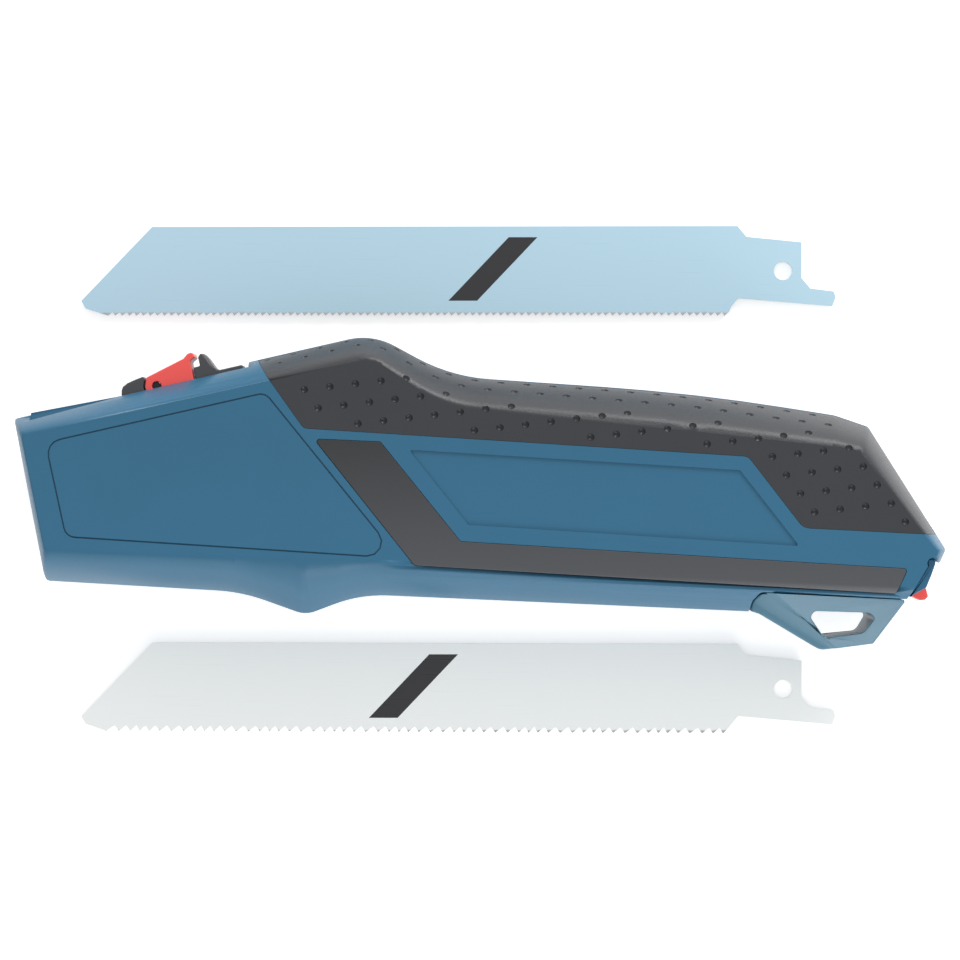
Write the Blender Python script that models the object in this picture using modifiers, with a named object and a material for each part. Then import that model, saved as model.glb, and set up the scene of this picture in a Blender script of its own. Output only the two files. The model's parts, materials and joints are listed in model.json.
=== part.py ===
"""Hand-saw handle for sabre saw blades, with two straight blades laid beside it.

The handle lies on its right side: +X runs to its rear end, +Y to its top, +Z to its left side.
The housing is two half shells with rubber grips and smooth inlays let into their sides. A carriage
slides along the nose, carries the blade holder and is freed by a lever. A lid at the rear closes a
channel for spare blades. All lengths are metres.
"""

import math

import bmesh
import bpy
from mathutils import Matrix, Vector

# Housing: each corner is (outer x, y, radius), (side face x, y, radius), arc steps
HALF_THICKNESS = 0.0140
PARTING_GAP = 0.0003
FLANK_CHAMFER = 0.4
FLANK_ROWS = 8
HOUSING_CORNERS = [
    ((-0.09181, 0.01267, 0.0008), (-0.08834, 0.00853, 0.0010), 2),
    ((-0.02122, 0.02883, 0.0130), (-0.02088, 0.02353, 0.0060), 10),
    ((-0.00574, 0.02043, 0.0350), (-0.00662, 0.01411, 0.0250), 7),
    ((0.04251, 0.01713, 0.4000), (0.04049, 0.00950, 0.3000), 4),
    ((0.07002, 0.01273, 0.0060), (0.06809, 0.00650, 0.0060), 3),
    ((0.07654, 0.01050, 0.0015), (0.07311, 0.00573, 0.0030), 3),
    ((0.09181, -0.01364, 0.0008), (0.08836, -0.01367, 0.0008), 2),
    ((0.08547, -0.02735, 0.0010), (0.08500, -0.02030, 0.0010), 2),
    ((-0.02358, -0.02255, 0.0270), (-0.02320, -0.01520, 0.3800), 7),
    ((-0.03438, -0.02662, 0.0055), (-0.03440, -0.01490, 0.9000), 8),
    ((-0.04705, -0.02208, 0.0340), (-0.04620, -0.01455, 0.9000), 6),
    ((-0.08562, -0.01985, 0.0009), (-0.08390, -0.01328, 0.0012), 2),
]

# Fits
CLEARANCE = 0.0003
PIN_CLEARANCE = 0.00015
END_CLEARANCE = 0.0006
BEYOND = 0.0300

# Grips, inlays and the marks on the side faces
GRIP_DEPTH = 0.0018
SPINE_HALF_WIDTH = 0.0006
GRIP_REGION = [
    (-0.0460, 0.0273, 0.0), (-0.03391, 0.01023, 0.0012), (0.05190, 0.00480, 0.0022),
    (0.06255, -0.00900, 0.0024), (0.1000, -0.0109, 0.0), (0.1000, 0.0450, 0.0), (-0.0460, 0.0450, 0.0),
]
INLAY_DEPTH = 0.0010
INLAY_REGION = [
    (-0.03160, 0.00770, 0.0003), (-0.01935, 0.00715, 0.0004), (-0.00385, -0.01210, 0.0007),
    (0.08225, -0.01735, 0.0003), (0.08020, -0.02175, 0.0004), (-0.01258, -0.01625, 0.0006),
]
PLAIN_FIELD_DEPTH = 0.0003
PLAIN_FIELD = [
    (-0.01375, 0.00585, 0.0003), (0.05018, 0.00190, 0.0004),
    (0.06165, -0.01275, 0.0003), (-0.00224, -0.00865, 0.0004),
]
PANEL_LINE_WIDTH = 0.0003
PANEL_LINE_DEPTH = 0.0004
PANEL = [
    (-0.08404, 0.00733, 0.0030), (-0.04140, 0.01700, 0.0024),
    (-0.01535, -0.01525, 0.0029), (-0.08004, -0.01110, 0.0024),
]

# Nose: u runs back along its sloping top, v stands square to it
NOSE_SLOPE = math.radians(12.9)
NOSE_TOP = 0.03205
TOP_WALL = 0.0022
RAIL_SIDE_WIDTH = 0.0015
RAIL_RIDGE = [(-0.0829, 0.03205), (-0.0826, 0.03237), (-0.0655, 0.03170), (-0.0392, 0.03165)]
SHOULDER_LINE = [(-0.0829, 0.03085), (-0.0630, 0.03175)]

# Carriage, with heights measured from the nose top
CARRIAGE_FRONT = -0.0648
CARRIAGE_REAR = -0.0459
CARRIAGE_HALF_WIDTH = 0.0040
CARRIAGE_TAIL = -0.0404
FORWARD_TRAVEL = 0.0160
FLANGE_HALF_WIDTH = 0.0065
FLANGE_HEIGHT = 0.00435
CAP_PROFILE = [(0.0002, 0.0008), (0.0006, 0.0014), (0.0016, 0.0019), (0.0033, 0.00225), (0.0050, 0.0025)]
HOOK_DEPTH = 0.0040
HOOK_LEDGE = 0.0020
HOOK_PROFILE = [
    (0.00135, 0.0038), (0.0019, 0.0043), (0.0026, 0.0042), (0.0032, 0.0032), (0.0037, 0.0020),
    (0.0041, 0.0011), (0.0045, 0.0006), (0.0050, 0.0004),
]

# Lever: its pivot, heel and profile, measured from the pivot
PIVOT_U = -0.0577
PIVOT_HEIGHT = 0.00005
HEEL_RADIUS = 0.0023
LEVER_PIN_RADIUS = 0.00075
LEVER_CHEEK = 0.0022
LEVER_ROOF = 0.0008
LEVER_BOTTOM = -0.00065
LEVER_REAR = 0.0074
LEVER_FRONT_TOP = (-0.0016, 0.0021)
LEVER_REAR_TOP = (0.0063, 0.0041)
LEVER_LIP = [(0.0072, 0.0048), (0.0079, 0.00495), (0.00835, 0.00475), (0.0085, 0.00385), (0.0077, 0.00345)]
LUG_RADIUS = 0.00145

# Lock stirrup under the carriage
STIRRUP_U = -0.05295
STIRRUP_WIDTH = 0.0027
STIRRUP_TRAVEL = 0.00065
STIRRUP_BASE = 0.0013
STIRRUP_WING = 0.0015
STIRRUP_POST_HALF = 0.0012
SPRING_OFFSET = 0.0042
SPRING_RADIUS = 0.00105
SPRING_WIRE = 0.00022
SPRING_LENGTH = 0.0036
SPRING_TURNS = 3.5
SPRING_POINTS = 8

# Blade holder
HOLDER_FRONT = -0.0655
HOLDER_REAR = -0.0455
HOLDER_HALF_WIDTH = 0.0064
HOLDER_FLOOR = 0.0018
TANG_SLOT_HALF = 0.0013
TANG_SLOT_HEIGHT = 0.0152
TANG_SLOT_END_WALL = 0.0020
STUD_RADIUS = 0.00175
STUD_U = -0.0585
STUD_DROP = 0.0089
LEAF_THICKNESS = 0.0004
LEAF_LENGTH = 0.0130
LEAF_HEIGHT = 0.0080
LEAF_BOW = 0.0004
MOUTH_HALF_WIDTH = 0.0025
MOUTH_MARGIN = 0.0026
HOLDER_SCREWS = [("front", -0.0628, 1), ("rear", -0.0482, -1)]
HOLDER_SCREW_OFFSET = 0.0052
HOLDER_SCREW_HEAD = (0.0011, 0.0010)
HOLDER_SCREW_SHANK = (0.0006, 0.0075)

# Shell screws, driven from the right side
SHELL_SCREWS = [
    (-0.0794, -0.0155), (-0.0353, 0.0021), (0.0235, -0.0018), (0.0431, -0.0038), (0.0725, -0.0122),
]
SCREW_HEAD = (0.0026, 0.0019)
SCREW_SHANK_RADIUS = 0.0012
SCREW_LENGTH = 0.0165
SCREW_LAND = 0.0080

# Channel for spare blades, and the hollows that lighten the grip
CHANNEL_FRONT = (-0.0691, -0.0146)
CHANNEL_REAR = (0.0872, -0.0187)
CHANNEL_HEIGHT = 0.0054
CHANNEL_HALF_WIDTH = 0.0093
HOLLOW_DEPTH = 0.0090
HOLLOW_RADIUS = 0.0020
HOLLOWS = [
    [(-0.0240, 0.0140), (0.0170, 0.0125), (0.0170, -0.0110), (-0.0140, -0.0102)],
    [(0.0295, 0.0120), (0.0370, 0.0115), (0.0370, -0.0120), (0.0295, -0.0117)],
    [(0.0495, 0.0100), (0.0660, 0.0070), (0.0720, -0.0065), (0.0660, -0.0125), (0.0495, -0.0125)],
]

# Rear lid: t runs down the slanted seat from its upper end, n stands out of it
LID_TOP = (0.0874, -0.0151)
LID_BOTTOM = (0.0828, -0.0229)
LID_HINGE = (0.00085, 0.00055)
LID_KNUCKLE_RADIUS = 0.0008
LID_PIN_RADIUS = 0.00035
LID_PIN_HALF = 0.0092
LID_OUTER = [(0.0029, 0.00175), (0.00545, 0.0021), (0.0078, 0.00075), (0.0085, 0.00045)]
LID_HALF_WIDTH = 0.0118
EAR_START = 0.0050
EAR_END = 0.0070
EAR_ROOT = 0.0030
CATCH_TRAVEL = 0.0010
CATCH_HALF_WIDTH = 0.0031
CATCH_TONGUE = 0.0011
CATCH_TOP = 0.0048
CATCH_PROFILE = [
    (0.0051, 0.0027), (0.0053, 0.0034), (0.0064, 0.0045), (0.0073, 0.0043), (0.0079, 0.0034), (0.0080, 0.0010),
]
CATCH_NOSE = (0.0068, -0.0009)

# Hanging loop under the rear end
LOOP_SEAM = [
    (0.05296, -0.02590, 0.0), (0.05305, -0.02350, 0.0010),
    (0.05440, -0.02170, 0.0014), (0.08290, -0.02310, 0.0),
]
LOOP_OUTER = [(0.07693, -0.03203, 0.0006), (0.06680, -0.03340, 0.0025), (0.05500, -0.02635, 0.0030)]
LOOP_FRONT = (0.05326, -0.02580, 0.0003)
LOOP_HOLE = [
    (0.06507, -0.02545, 0.0010), (0.07560, -0.02580, 0.0010), (0.07695, -0.02680, 0.0008),
    (0.07480, -0.02990, 0.0020), (0.06730, -0.03085, 0.0010), (0.06417, -0.02660, 0.0010),
]
LOOP_SIDE = [(-0.0205, 0.0132), (-0.0217, 0.0126), (-0.0345, 0.0041)]
RIM_SIDE = [(0.0, 0.0032), (0.0013, 0.0040), (0.0032, 0.0088), (0.0060, 0.0150)]
TONGUE_LENGTH = 0.0057
TONGUE_ROOT = 0.0014
TONGUE_HEIGHT = 0.0017
TONGUE_HALF_WIDTH = 0.0035
TONGUE_HEAD = (0.0020, 0.0055)
TONGUE_TOP = -0.0219

# Blades, in the place where the upper one lies, with its tang to the right
BLADE_THICKNESS = 0.0009
BLADE_HOLE = (0.06105, 0.04210, 0.00185)
BLADE_BACK = [(-0.08032, 0.03608), (-0.06605, 0.05097), (0.05186, 0.05115)]
BLADE_TANG_TOP = [(0.05369, 0.04898), (0.06476, 0.04789), (0.06474, 0.04069)]
BLADE_SPUR = [(0.06657, 0.03856), (0.07123, 0.03799), (0.07165, 0.03686), (0.07095, 0.03503)]
BLADE_TANG_FOOT = [(0.05200, 0.03664), (0.05059, 0.03489)]
BLADE_TEETH = [(0.05031, 0.03310), (-0.07659, 0.03310)]
BLADE_NOSE = (-0.07943, 0.03452)
FINE_PITCH = 0.001411
FINE_TOOTH = 0.00077
COARSE_PITCHES = [0.00181, 0.00205, 0.00230, 0.00254, 0.00230, 0.00205]
COARSE_TOOTH = 0.00115
COARSE_SHIFT = -0.08425
COARSE_TURN = math.radians(-0.25)

ROUND_STEPS = 24
SMALL_ROUND_STEPS = 16

MID = HALF_THICKNESS
NOSE = Matrix.Rotation(NOSE_SLOPE, 4, "Z")
LID_RUN = Vector(LID_BOTTOM) - Vector(LID_TOP)
LID = Matrix.Translation((*LID_TOP, 0.0)) @ Matrix.Rotation(math.atan2(LID_RUN.y, LID_RUN.x), 4, "Z")
HOUSING_BLUE = (0.055, 0.165, 0.290)
SLATE = (0.045, 0.048, 0.054)
BLADE_STEEL = (0.55, 0.56, 0.58)


def clear_scene():
    """Remove what the start-up scene holds, and make the two collections."""
    for old in list(bpy.data.objects):
        bpy.data.objects.remove(old, do_unlink=True)
    for name in ("sabre_blade_hand_saw", "cutters"):
        if name not in bpy.data.collections:
            bpy.context.scene.collection.children.link(bpy.data.collections.new(name))


def finish(name, colour, roughness, metallic=0.0):
    """Principled material of one sub-part."""
    material = bpy.data.materials.new(name)
    material.use_nodes = True
    shader = material.node_tree.nodes["Principled BSDF"]
    shader.inputs["Base Color"].default_value = (*colour, 1.0)
    shader.inputs["Roughness"].default_value = roughness
    shader.inputs["Metallic"].default_value = metallic
    return material


def part(name, data, material, origin=(0.0, 0.0, 0.0)):
    """Sub-part object whose origin is moved to a point, such as one on its joint's axis."""
    data.transform(Matrix.Translation(-Vector(origin)))
    data.materials.clear()
    data.materials.append(material)
    piece = bpy.data.objects.new(name, data)
    piece.location = origin
    bpy.data.collections["sabre_blade_hand_saw"].objects.link(piece)
    return piece


def cutter(name, mesh):
    """Object that only shapes others: wire in the viewport and left out of renders."""
    tool = bpy.data.objects.new(name, mesh)
    tool.display_type = "WIRE"
    tool.hide_render = True
    bpy.data.collections["cutters"].objects.link(tool)
    return tool


def shape(piece, tool, operation="DIFFERENCE"):
    """Exact Boolean modifier, which stays on the piece."""
    modifier = piece.modifiers.new(f"{operation.lower()}_{tool.name}", "BOOLEAN")
    modifier.operation = operation
    modifier.solver = "EXACT"
    modifier.object = tool
    return piece


def close_mesh(name, bm):
    """Mesh of a finished bmesh, with its faces pointing out."""
    bmesh.ops.remove_doubles(bm, verts=bm.verts, dist=1e-7)
    bmesh.ops.recalc_face_normals(bm, faces=bm.faces)
    mesh = bpy.data.meshes.new(name)
    bm.to_mesh(mesh)
    bm.free()
    mesh.shade_smooth()
    mesh.set_sharp_from_angle(angle=math.radians(32))
    return mesh


def arc(centre, radius, start, end, steps):
    """Points of an arc, by angles in degrees."""
    angles = [math.radians(start + (end - start) * step / steps) for step in range(steps + 1)]
    return [(centre[0] + radius * math.cos(a), centre[1] + radius * math.sin(a)) for a in angles]


def rounded(corners, steps=4):
    """Closed outline of (x, y, radius) corners, each turned into an arc; steps may be one list."""
    counts = steps if isinstance(steps, list) else [steps] * len(corners)
    points = []
    for index, (x, y, radius) in enumerate(corners):
        here = Vector((x, y))
        if radius <= 0.0:
            points.append((x, y))
            continue
        before = (Vector(corners[index - 1][:2]) - here).normalized()
        after = (Vector(corners[(index + 1) % len(corners)][:2]) - here).normalized()
        half_angle = before.angle(after) / 2
        centre = here + (before + after).normalized() * radius / math.sin(half_angle)
        start = here + before * radius / math.tan(half_angle) - centre
        end = here + after * radius / math.tan(half_angle) - centre
        sweep = math.atan2(start.cross(end), start.dot(end))
        for step in range(counts[index] + 1):
            angle = math.atan2(start.y, start.x) + sweep * step / counts[index]
            points.append((centre.x + radius * math.cos(angle), centre.y + radius * math.sin(angle)))
    return points


def inset(corners, depth):
    """Corners moved inwards by a depth, outwards where it is negative, with their radii to suit."""
    area = sum(a[0] * b[1] - b[0] * a[1] for a, b in zip(corners, corners[1:] + corners[:1]))
    turn = 1.0 if area > 0 else -1.0
    moved = []
    for index, (x, y, radius) in enumerate(corners):
        before = (Vector((x, y)) - Vector(corners[index - 1][:2])).normalized()
        after = (Vector(corners[(index + 1) % len(corners)][:2]) - Vector((x, y))).normalized()
        normal_before = Vector((-before.y, before.x)) * turn
        normal_after = Vector((-after.y, after.x)) * turn
        shift = (normal_before + normal_after) * depth / (1.0 + normal_before.dot(normal_after))
        bulges = before.cross(after) * turn > 0
        new_radius = radius - depth if bulges else radius + depth
        moved.append((x + shift.x, y + shift.y, max(new_radius, 0.0002) if radius > 0 else 0.0))
    return moved


def span(side, low, high):
    """Heights of a stretch that runs from low to high, measured from the parting plane to one side."""
    return (MID + low, MID + high) if side > 0 else (MID - high, MID - low)


def outline_mesh(name, loops, low, high, place=None):
    """Solid of a flat outline: a filled 2D curve extruded to both sides of its middle, made a mesh."""
    curve = bpy.data.curves.new(name, "CURVE")
    curve.dimensions = "2D"
    curve.fill_mode = "BOTH"
    curve.extrude = (high - low) / 2
    for loop in loops:
        spline = curve.splines.new("POLY")
        spline.points.add(len(loop) - 1)
        for point, (x, y) in zip(spline.points, loop):
            point.co = (x, y, 0.0, 1.0)
        spline.use_cyclic_u = True
    holder = bpy.data.objects.new(name, curve)
    bpy.data.collections["cutters"].objects.link(holder)
    evaluated = holder.evaluated_get(bpy.context.evaluated_depsgraph_get())
    raw = bpy.data.meshes.new_from_object(evaluated)
    bpy.data.objects.remove(holder, do_unlink=True)
    bm = bmesh.new()
    bm.from_mesh(raw)
    bpy.data.meshes.remove(raw)
    bm.transform((place or Matrix()) @ Matrix.Translation((0.0, 0.0, (low + high) / 2)))
    bmesh.ops.remove_doubles(bm, verts=bm.verts, dist=1e-6)
    return close_mesh(name, bm)


def box_mesh(name, low, high, place=None):
    """Box between two corners."""
    bm = bmesh.new()
    size = [h - l for l, h in zip(low, high)]
    centre = [(l + h) / 2 for l, h in zip(low, high)]
    matrix = (place or Matrix()) @ Matrix.Translation(centre) @ Matrix.Diagonal((*size, 1.0))
    bmesh.ops.create_cube(bm, size=1.0, matrix=matrix)
    return close_mesh(name, bm)


def rod_mesh(name, radius, low, high, place, steps=ROUND_STEPS):
    """Cylinder along the local Z axis of a place."""
    bm = bmesh.new()
    matrix = place @ Matrix.Translation((0.0, 0.0, (low + high) / 2))
    bmesh.ops.create_cone(bm, cap_ends=True, segments=steps, radius1=radius, radius2=radius,
                          depth=high - low, matrix=matrix)
    return close_mesh(name, bm)


def turned(piece, steps=ROUND_STEPS):
    """Screw modifier that turns a piece's profile about its own Z axis."""
    modifier = piece.modifiers.new("turn", "SCREW")
    modifier.steps = steps
    modifier.render_steps = steps
    modifier.use_merge_vertices = True
    modifier.merge_threshold = 0.00001
    modifier.use_smooth_shade = False
    return piece


def profile_mesh(name, points):
    """Open profile in the XZ plane, from the top of its axis down its outer side to the axis again."""
    mesh = bpy.data.meshes.new(name)
    edges = [(index, index + 1) for index in range(len(points) - 1)]
    mesh.from_pydata([(r, 0.0, z) for r, z in points], edges, [])
    return mesh


def nose_point(u, v):
    """Place on the nose in x and y."""
    point = NOSE @ Vector((u, v, 0.0))
    return point.x, point.y


def half_housing(name, side, depth=0.0):
    """Half of the housing, or of the same form let in by a depth, lofted from outline to side face."""
    steps = [corner[2] for corner in HOUSING_CORNERS]
    outer = rounded(inset([corner[0] for corner in HOUSING_CORNERS], depth), steps)
    ridge = rounded([corner[1] for corner in HOUSING_CORNERS], steps)
    base = PARTING_GAP / 2
    rings = []
    bm = bmesh.new()
    for row in range(FLANK_ROWS + 1):
        angle = math.pi / 2 * row / FLANK_ROWS
        inwards = (1 - FLANK_CHAMFER) * (1 - math.cos(angle)) + FLANK_CHAMFER * math.sin(angle)
        height = MID + side * (base + (HALF_THICKNESS - depth - base) * math.sin(angle))
        ring = [bm.verts.new((a[0] + (b[0] - a[0]) * inwards, a[1] + (b[1] - a[1]) * inwards, height))
                for a, b in zip(outer, ridge)]
        rings.append(ring)
    for lower, upper in zip(rings, rings[1:]):
        for index, vertex in enumerate(lower):
            bm.faces.new((lower[index - 1], vertex, upper[index], upper[index - 1]))
    bm.faces.new(rings[0])
    bm.faces.new(rings[-1])
    return close_mesh(name, bm)


def let_in(name, side, region, depth, start, material):
    """Piece that lies flush in the housing's side, and the cutter of its seat."""
    label = f"{'left' if side > 0 else 'right'}_{name}"
    reach = HALF_THICKNESS + BEYOND
    piece = part(label, half_housing(label, side), material)
    edge = outline_mesh(f"{label}_edge", [rounded(region)], *span(side, start + CLEARANCE, reach))
    shape(piece, cutter(f"{label}_edge", edge), "INTERSECT")
    shape(piece, cutter(f"{label}_under", half_housing(f"{label}_under", side, depth)))
    grown = rounded(inset(region, -CLEARANCE))
    seat = cutter(f"{label}_seat", outline_mesh(f"{label}_seat", [grown], *span(side, start, reach)))
    floor = half_housing(f"{label}_floor", side, depth + CLEARANCE)
    return shape(seat, cutter(f"{label}_floor", floor))


def nose_rail(label, side):
    """Block beside the carriage's slot from which the nose cutters leave a low rail."""
    (front, _), (rear, low) = RAIL_RIDGE[1], RAIL_RIDGE[2]
    far = CARRIAGE_HALF_WIDTH + CLEARANCE + RAIL_SIDE_WIDTH + CLEARANCE
    bottom, top = span(side, PARTING_GAP, far)
    corner = (front - CLEARANCE / 2, low - TOP_WALL / 2, bottom)
    other = (rear + CLEARANCE, NOSE_TOP + TOP_WALL / 2, top)
    return cutter(f"{label}_rail", box_mesh(f"{label}_rail", corner, other, NOSE))


def nose_cutters(side):
    """Cuts that shape the nose top and its rail, open the slot and hollow the bay and the mouth."""
    label = "left" if side > 0 else "right"
    holder_bottom = holder_levels()[2]
    slot_half = CARRIAGE_HALF_WIDTH + CLEARANCE
    front = CARRIAGE_FRONT - FORWARD_TRAVEL - END_CLEARANCE
    rear = CARRIAGE_TAIL + END_CLEARANCE
    bay_front = HOLDER_FRONT - FORWARD_TRAVEL - END_CLEARANCE
    bay_rear = HOLDER_REAR + END_CLEARANCE
    bay_half = FLANGE_HALF_WIDTH + CLEARANCE + STIRRUP_WING + 2 * CLEARANCE
    roof = NOSE_TOP - TOP_WALL
    sky = NOSE_TOP + BEYOND
    ahead = CARRIAGE_FRONT - 2 * BEYOND
    above = [(ahead, sky), (ahead, NOSE_TOP), *RAIL_RIDGE, (RAIL_RIDGE[-1][0], sky)]
    beside = [(SHOULDER_LINE[0][0], sky), *SHOULDER_LINE, (SHOULDER_LINE[1][0], sky)]
    rail_half = slot_half + RAIL_SIDE_WIDTH
    for name, loop, near in (("shoulder", beside, rail_half), ("above_rail", above, -BEYOND)):
        mesh = outline_mesh(f"{label}_{name}", [loop], *span(side, near, HALF_THICKNESS + BEYOND), NOSE)
        yield cutter(f"{label}_{name}", mesh)
    floor = holder_bottom - CLEARANCE
    boxes = [
        ("slot", (front, roof - TOP_WALL), (rear, sky), slot_half),
        ("bay", (bay_front, floor), (bay_rear, roof), bay_half),
        ("mouth", (ahead, floor), (bay_front + END_CLEARANCE, roof - MOUTH_MARGIN), MOUTH_HALF_WIDTH),
    ]
    for name, low, high, far in boxes:
        bottom, top = span(side, -BEYOND, far)
        mesh = box_mesh(f"{label}_{name}", (*low, bottom), (*high, top), NOSE)
        yield cutter(f"{label}_{name}", mesh)


def channel_mesh(name, side):
    """Slanted channel that takes spare blades lying flat, open at the rear lid."""
    front, rear = Vector(CHANNEL_FRONT), Vector(CHANNEL_REAR)
    along = (rear - front).normalized()
    up = Vector((-along.y, along.x)) * CHANNEL_HEIGHT / 2
    far = rear + along * BEYOND / 3
    loop = [tuple(front - up), tuple(far - up), tuple(far + up), tuple(front + up)]
    return outline_mesh(name, [loop], *span(side, -BEYOND, CHANNEL_HALF_WIDTH))


def tongue_boxes(grow):
    """Tongue of the hanging loop and its wider head, grown by a clearance for their pocket."""
    rear = LOOP_SEAM[0][0] + TONGUE_ROOT
    front = LOOP_SEAM[0][0] - TONGUE_LENGTH
    low, high = TONGUE_TOP - TONGUE_HEIGHT - grow, TONGUE_TOP + grow
    head, head_half = TONGUE_HEAD
    for name, start, end, half in (("tongue", front, rear, TONGUE_HALF_WIDTH),
                                   ("tongue_head", front, front + head, head_half)):
        corner = (start - grow, low, MID - half - grow)
        yield name, corner, (end + grow, high, MID + half + grow)


def screw_place(x, y, z):
    """Place whose Z axis runs along the shell screws, from the right side to the left."""
    return Matrix.Translation((x, y, z)) @ Matrix.Rotation(math.pi, 4, "X")


def shell(side, seats, material):
    """Half shell with its seats, hollows, nose openings, channel, lid ears and screw holes."""
    label = "left_shell" if side > 0 else "right_shell"
    piece = part(label, half_housing(label, side), material)
    shape(piece, nose_rail(label, side), "UNION")
    for tool in [*seats, *nose_cutters(side)]:
        shape(piece, tool)
    top = HALF_THICKNESS - PLAIN_FIELD_DEPTH
    field = outline_mesh(f"{label}_field", [rounded(PLAIN_FIELD)], *span(side, top, HALF_THICKNESS + BEYOND))
    shape(piece, cutter(f"{label}_field", field))
    line = [rounded(PANEL), rounded(inset(PANEL, PANEL_LINE_WIDTH))]
    top = HALF_THICKNESS - PANEL_LINE_DEPTH
    groove = outline_mesh(f"{label}_line", line, *span(side, top, HALF_THICKNESS + BEYOND))
    shape(piece, cutter(f"{label}_line", groove))
    shape(piece, cutter(f"{label}_channel", channel_mesh(f"{label}_channel", side)))
    for number, corners in enumerate(HOLLOWS, start=1):
        loop = rounded([(x, y, HOLLOW_RADIUS) for x, y in corners], 2)
        hollow = outline_mesh(f"{label}_hollow_{number}", [loop], *span(side, -BEYOND, HOLLOW_DEPTH))
        shape(piece, cutter(f"{label}_hollow_{number}", hollow))
    cut_lid_seat(piece, label, side)
    notch = rounded([*LOOP_SEAM, (LID_BOTTOM[0] + BEYOND, LID_BOTTOM[1], 0.0),
                     (LID_BOTTOM[0] + BEYOND, LID_BOTTOM[1] - BEYOND, 0.0),
                     (LOOP_SEAM[0][0], LID_BOTTOM[1] - BEYOND, 0.0)])
    notch = outline_mesh(f"{label}_notch", [notch], MID - BEYOND, MID + BEYOND)
    shape(piece, cutter(f"{label}_notch", notch))
    for name, low, high in tongue_boxes(CLEARANCE):
        shape(piece, cutter(f"{label}_{name}", box_mesh(f"{label}_{name}", low, high)))
    for number, (x, y) in enumerate(SHELL_SCREWS, start=1):
        shape(piece, screw_hole(f"{label}_screw_hole_{number}", x, y, side))
    return piece


def cut_lid_seat(piece, label, side):
    """Slanted seat of the rear lid, which leaves one ear of its hinge, and room for its knuckles."""
    far = HALF_THICKNESS + BEYOND
    reach = LID_RUN.length + BEYOND
    seat = box_mesh(f"{label}_lid_seat", (0.0, 0.0, MID - far), (reach, BEYOND, MID + far), LID)
    seat = cutter(f"{label}_lid_seat", seat)
    t, n = LID_HINGE
    outline = [*arc(LID_HINGE, LID_KNUCKLE_RADIUS, 0, 90, 4), (-EAR_ROOT, n + LID_KNUCKLE_RADIUS),
               (-EAR_ROOT, -EAR_ROOT), (t + LID_KNUCKLE_RADIUS, -EAR_ROOT)]
    width = span(side, EAR_START - CLEARANCE / 2, EAR_END + CLEARANCE / 2)
    ear = outline_mesh(f"{label}_ear", [outline], *width, LID)
    shape(seat, cutter(f"{label}_ear", ear))
    shape(piece, seat)
    hinge = LID @ Matrix.Translation((t, n, 0.0))
    room = LID_KNUCKLE_RADIUS + CLEARANCE
    for name, near, end in (("inner", -BEYOND, EAR_START), ("outer", EAR_END, far)):
        name = f"{label}_{name}_knuckle_room"
        shape(piece, cutter(name, rod_mesh(name, room, *span(side, near, end), hinge)))
    bore = LID_PIN_RADIUS + PIN_CLEARANCE
    hole = rod_mesh(f"{label}_lid_bore", bore, *span(side, 0.0, LID_HALF_WIDTH), hinge, SMALL_ROUND_STEPS)
    shape(piece, cutter(f"{label}_lid_bore", hole))


def screw_hole(name, x, y, side):
    """Stepped hole in the right shell, or blind pilot hole in the left one."""
    hole = SCREW_SHANK_RADIUS + CLEARANCE
    if side > 0:
        depth = SCREW_LENGTH - SCREW_LAND + CLEARANCE
        place = Matrix.Translation((x, y, MID))
        return cutter(name, rod_mesh(name, hole, -BEYOND, depth, place, SMALL_ROUND_STEPS))
    bore = SCREW_HEAD[0] + CLEARANCE
    points = [(0.0, BEYOND), (bore, BEYOND), (bore, SCREW_LAND), (hole, SCREW_LAND),
              (hole, -BEYOND), (0.0, -BEYOND)]
    tool = turned(cutter(name, profile_mesh(name, points)), SMALL_ROUND_STEPS)
    tool.matrix_world = screw_place(x, y, MID)
    return tool


def shell_screw(number, x, y, material):
    """Pan-head screw that pulls the shells together."""
    radius, height = SCREW_HEAD
    seat = CLEARANCE
    points = [(0.0, height + seat), (radius * 0.7, height + seat), (radius, height * 0.6 + seat),
              (radius, seat), (SCREW_SHANK_RADIUS, seat), (SCREW_SHANK_RADIUS, -SCREW_LENGTH * 0.94),
              (SCREW_SHANK_RADIUS * 0.4, -SCREW_LENGTH), (0.0, -SCREW_LENGTH)]
    name = f"shell_screw_{number}"
    piece = turned(part(name, profile_mesh(name, points), material), SMALL_ROUND_STEPS)
    piece.matrix_world = screw_place(x, y, MID - SCREW_LAND)
    return piece


def carriage_levels():
    """Heights on the nose of the flange's top and bottom."""
    top = NOSE_TOP - TOP_WALL - CLEARANCE
    return top, top - FLANGE_HEIGHT


def pivot_point():
    """Lever pivot in u and v."""
    return PIVOT_U, NOSE_TOP + PIVOT_HEIGHT


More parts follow.
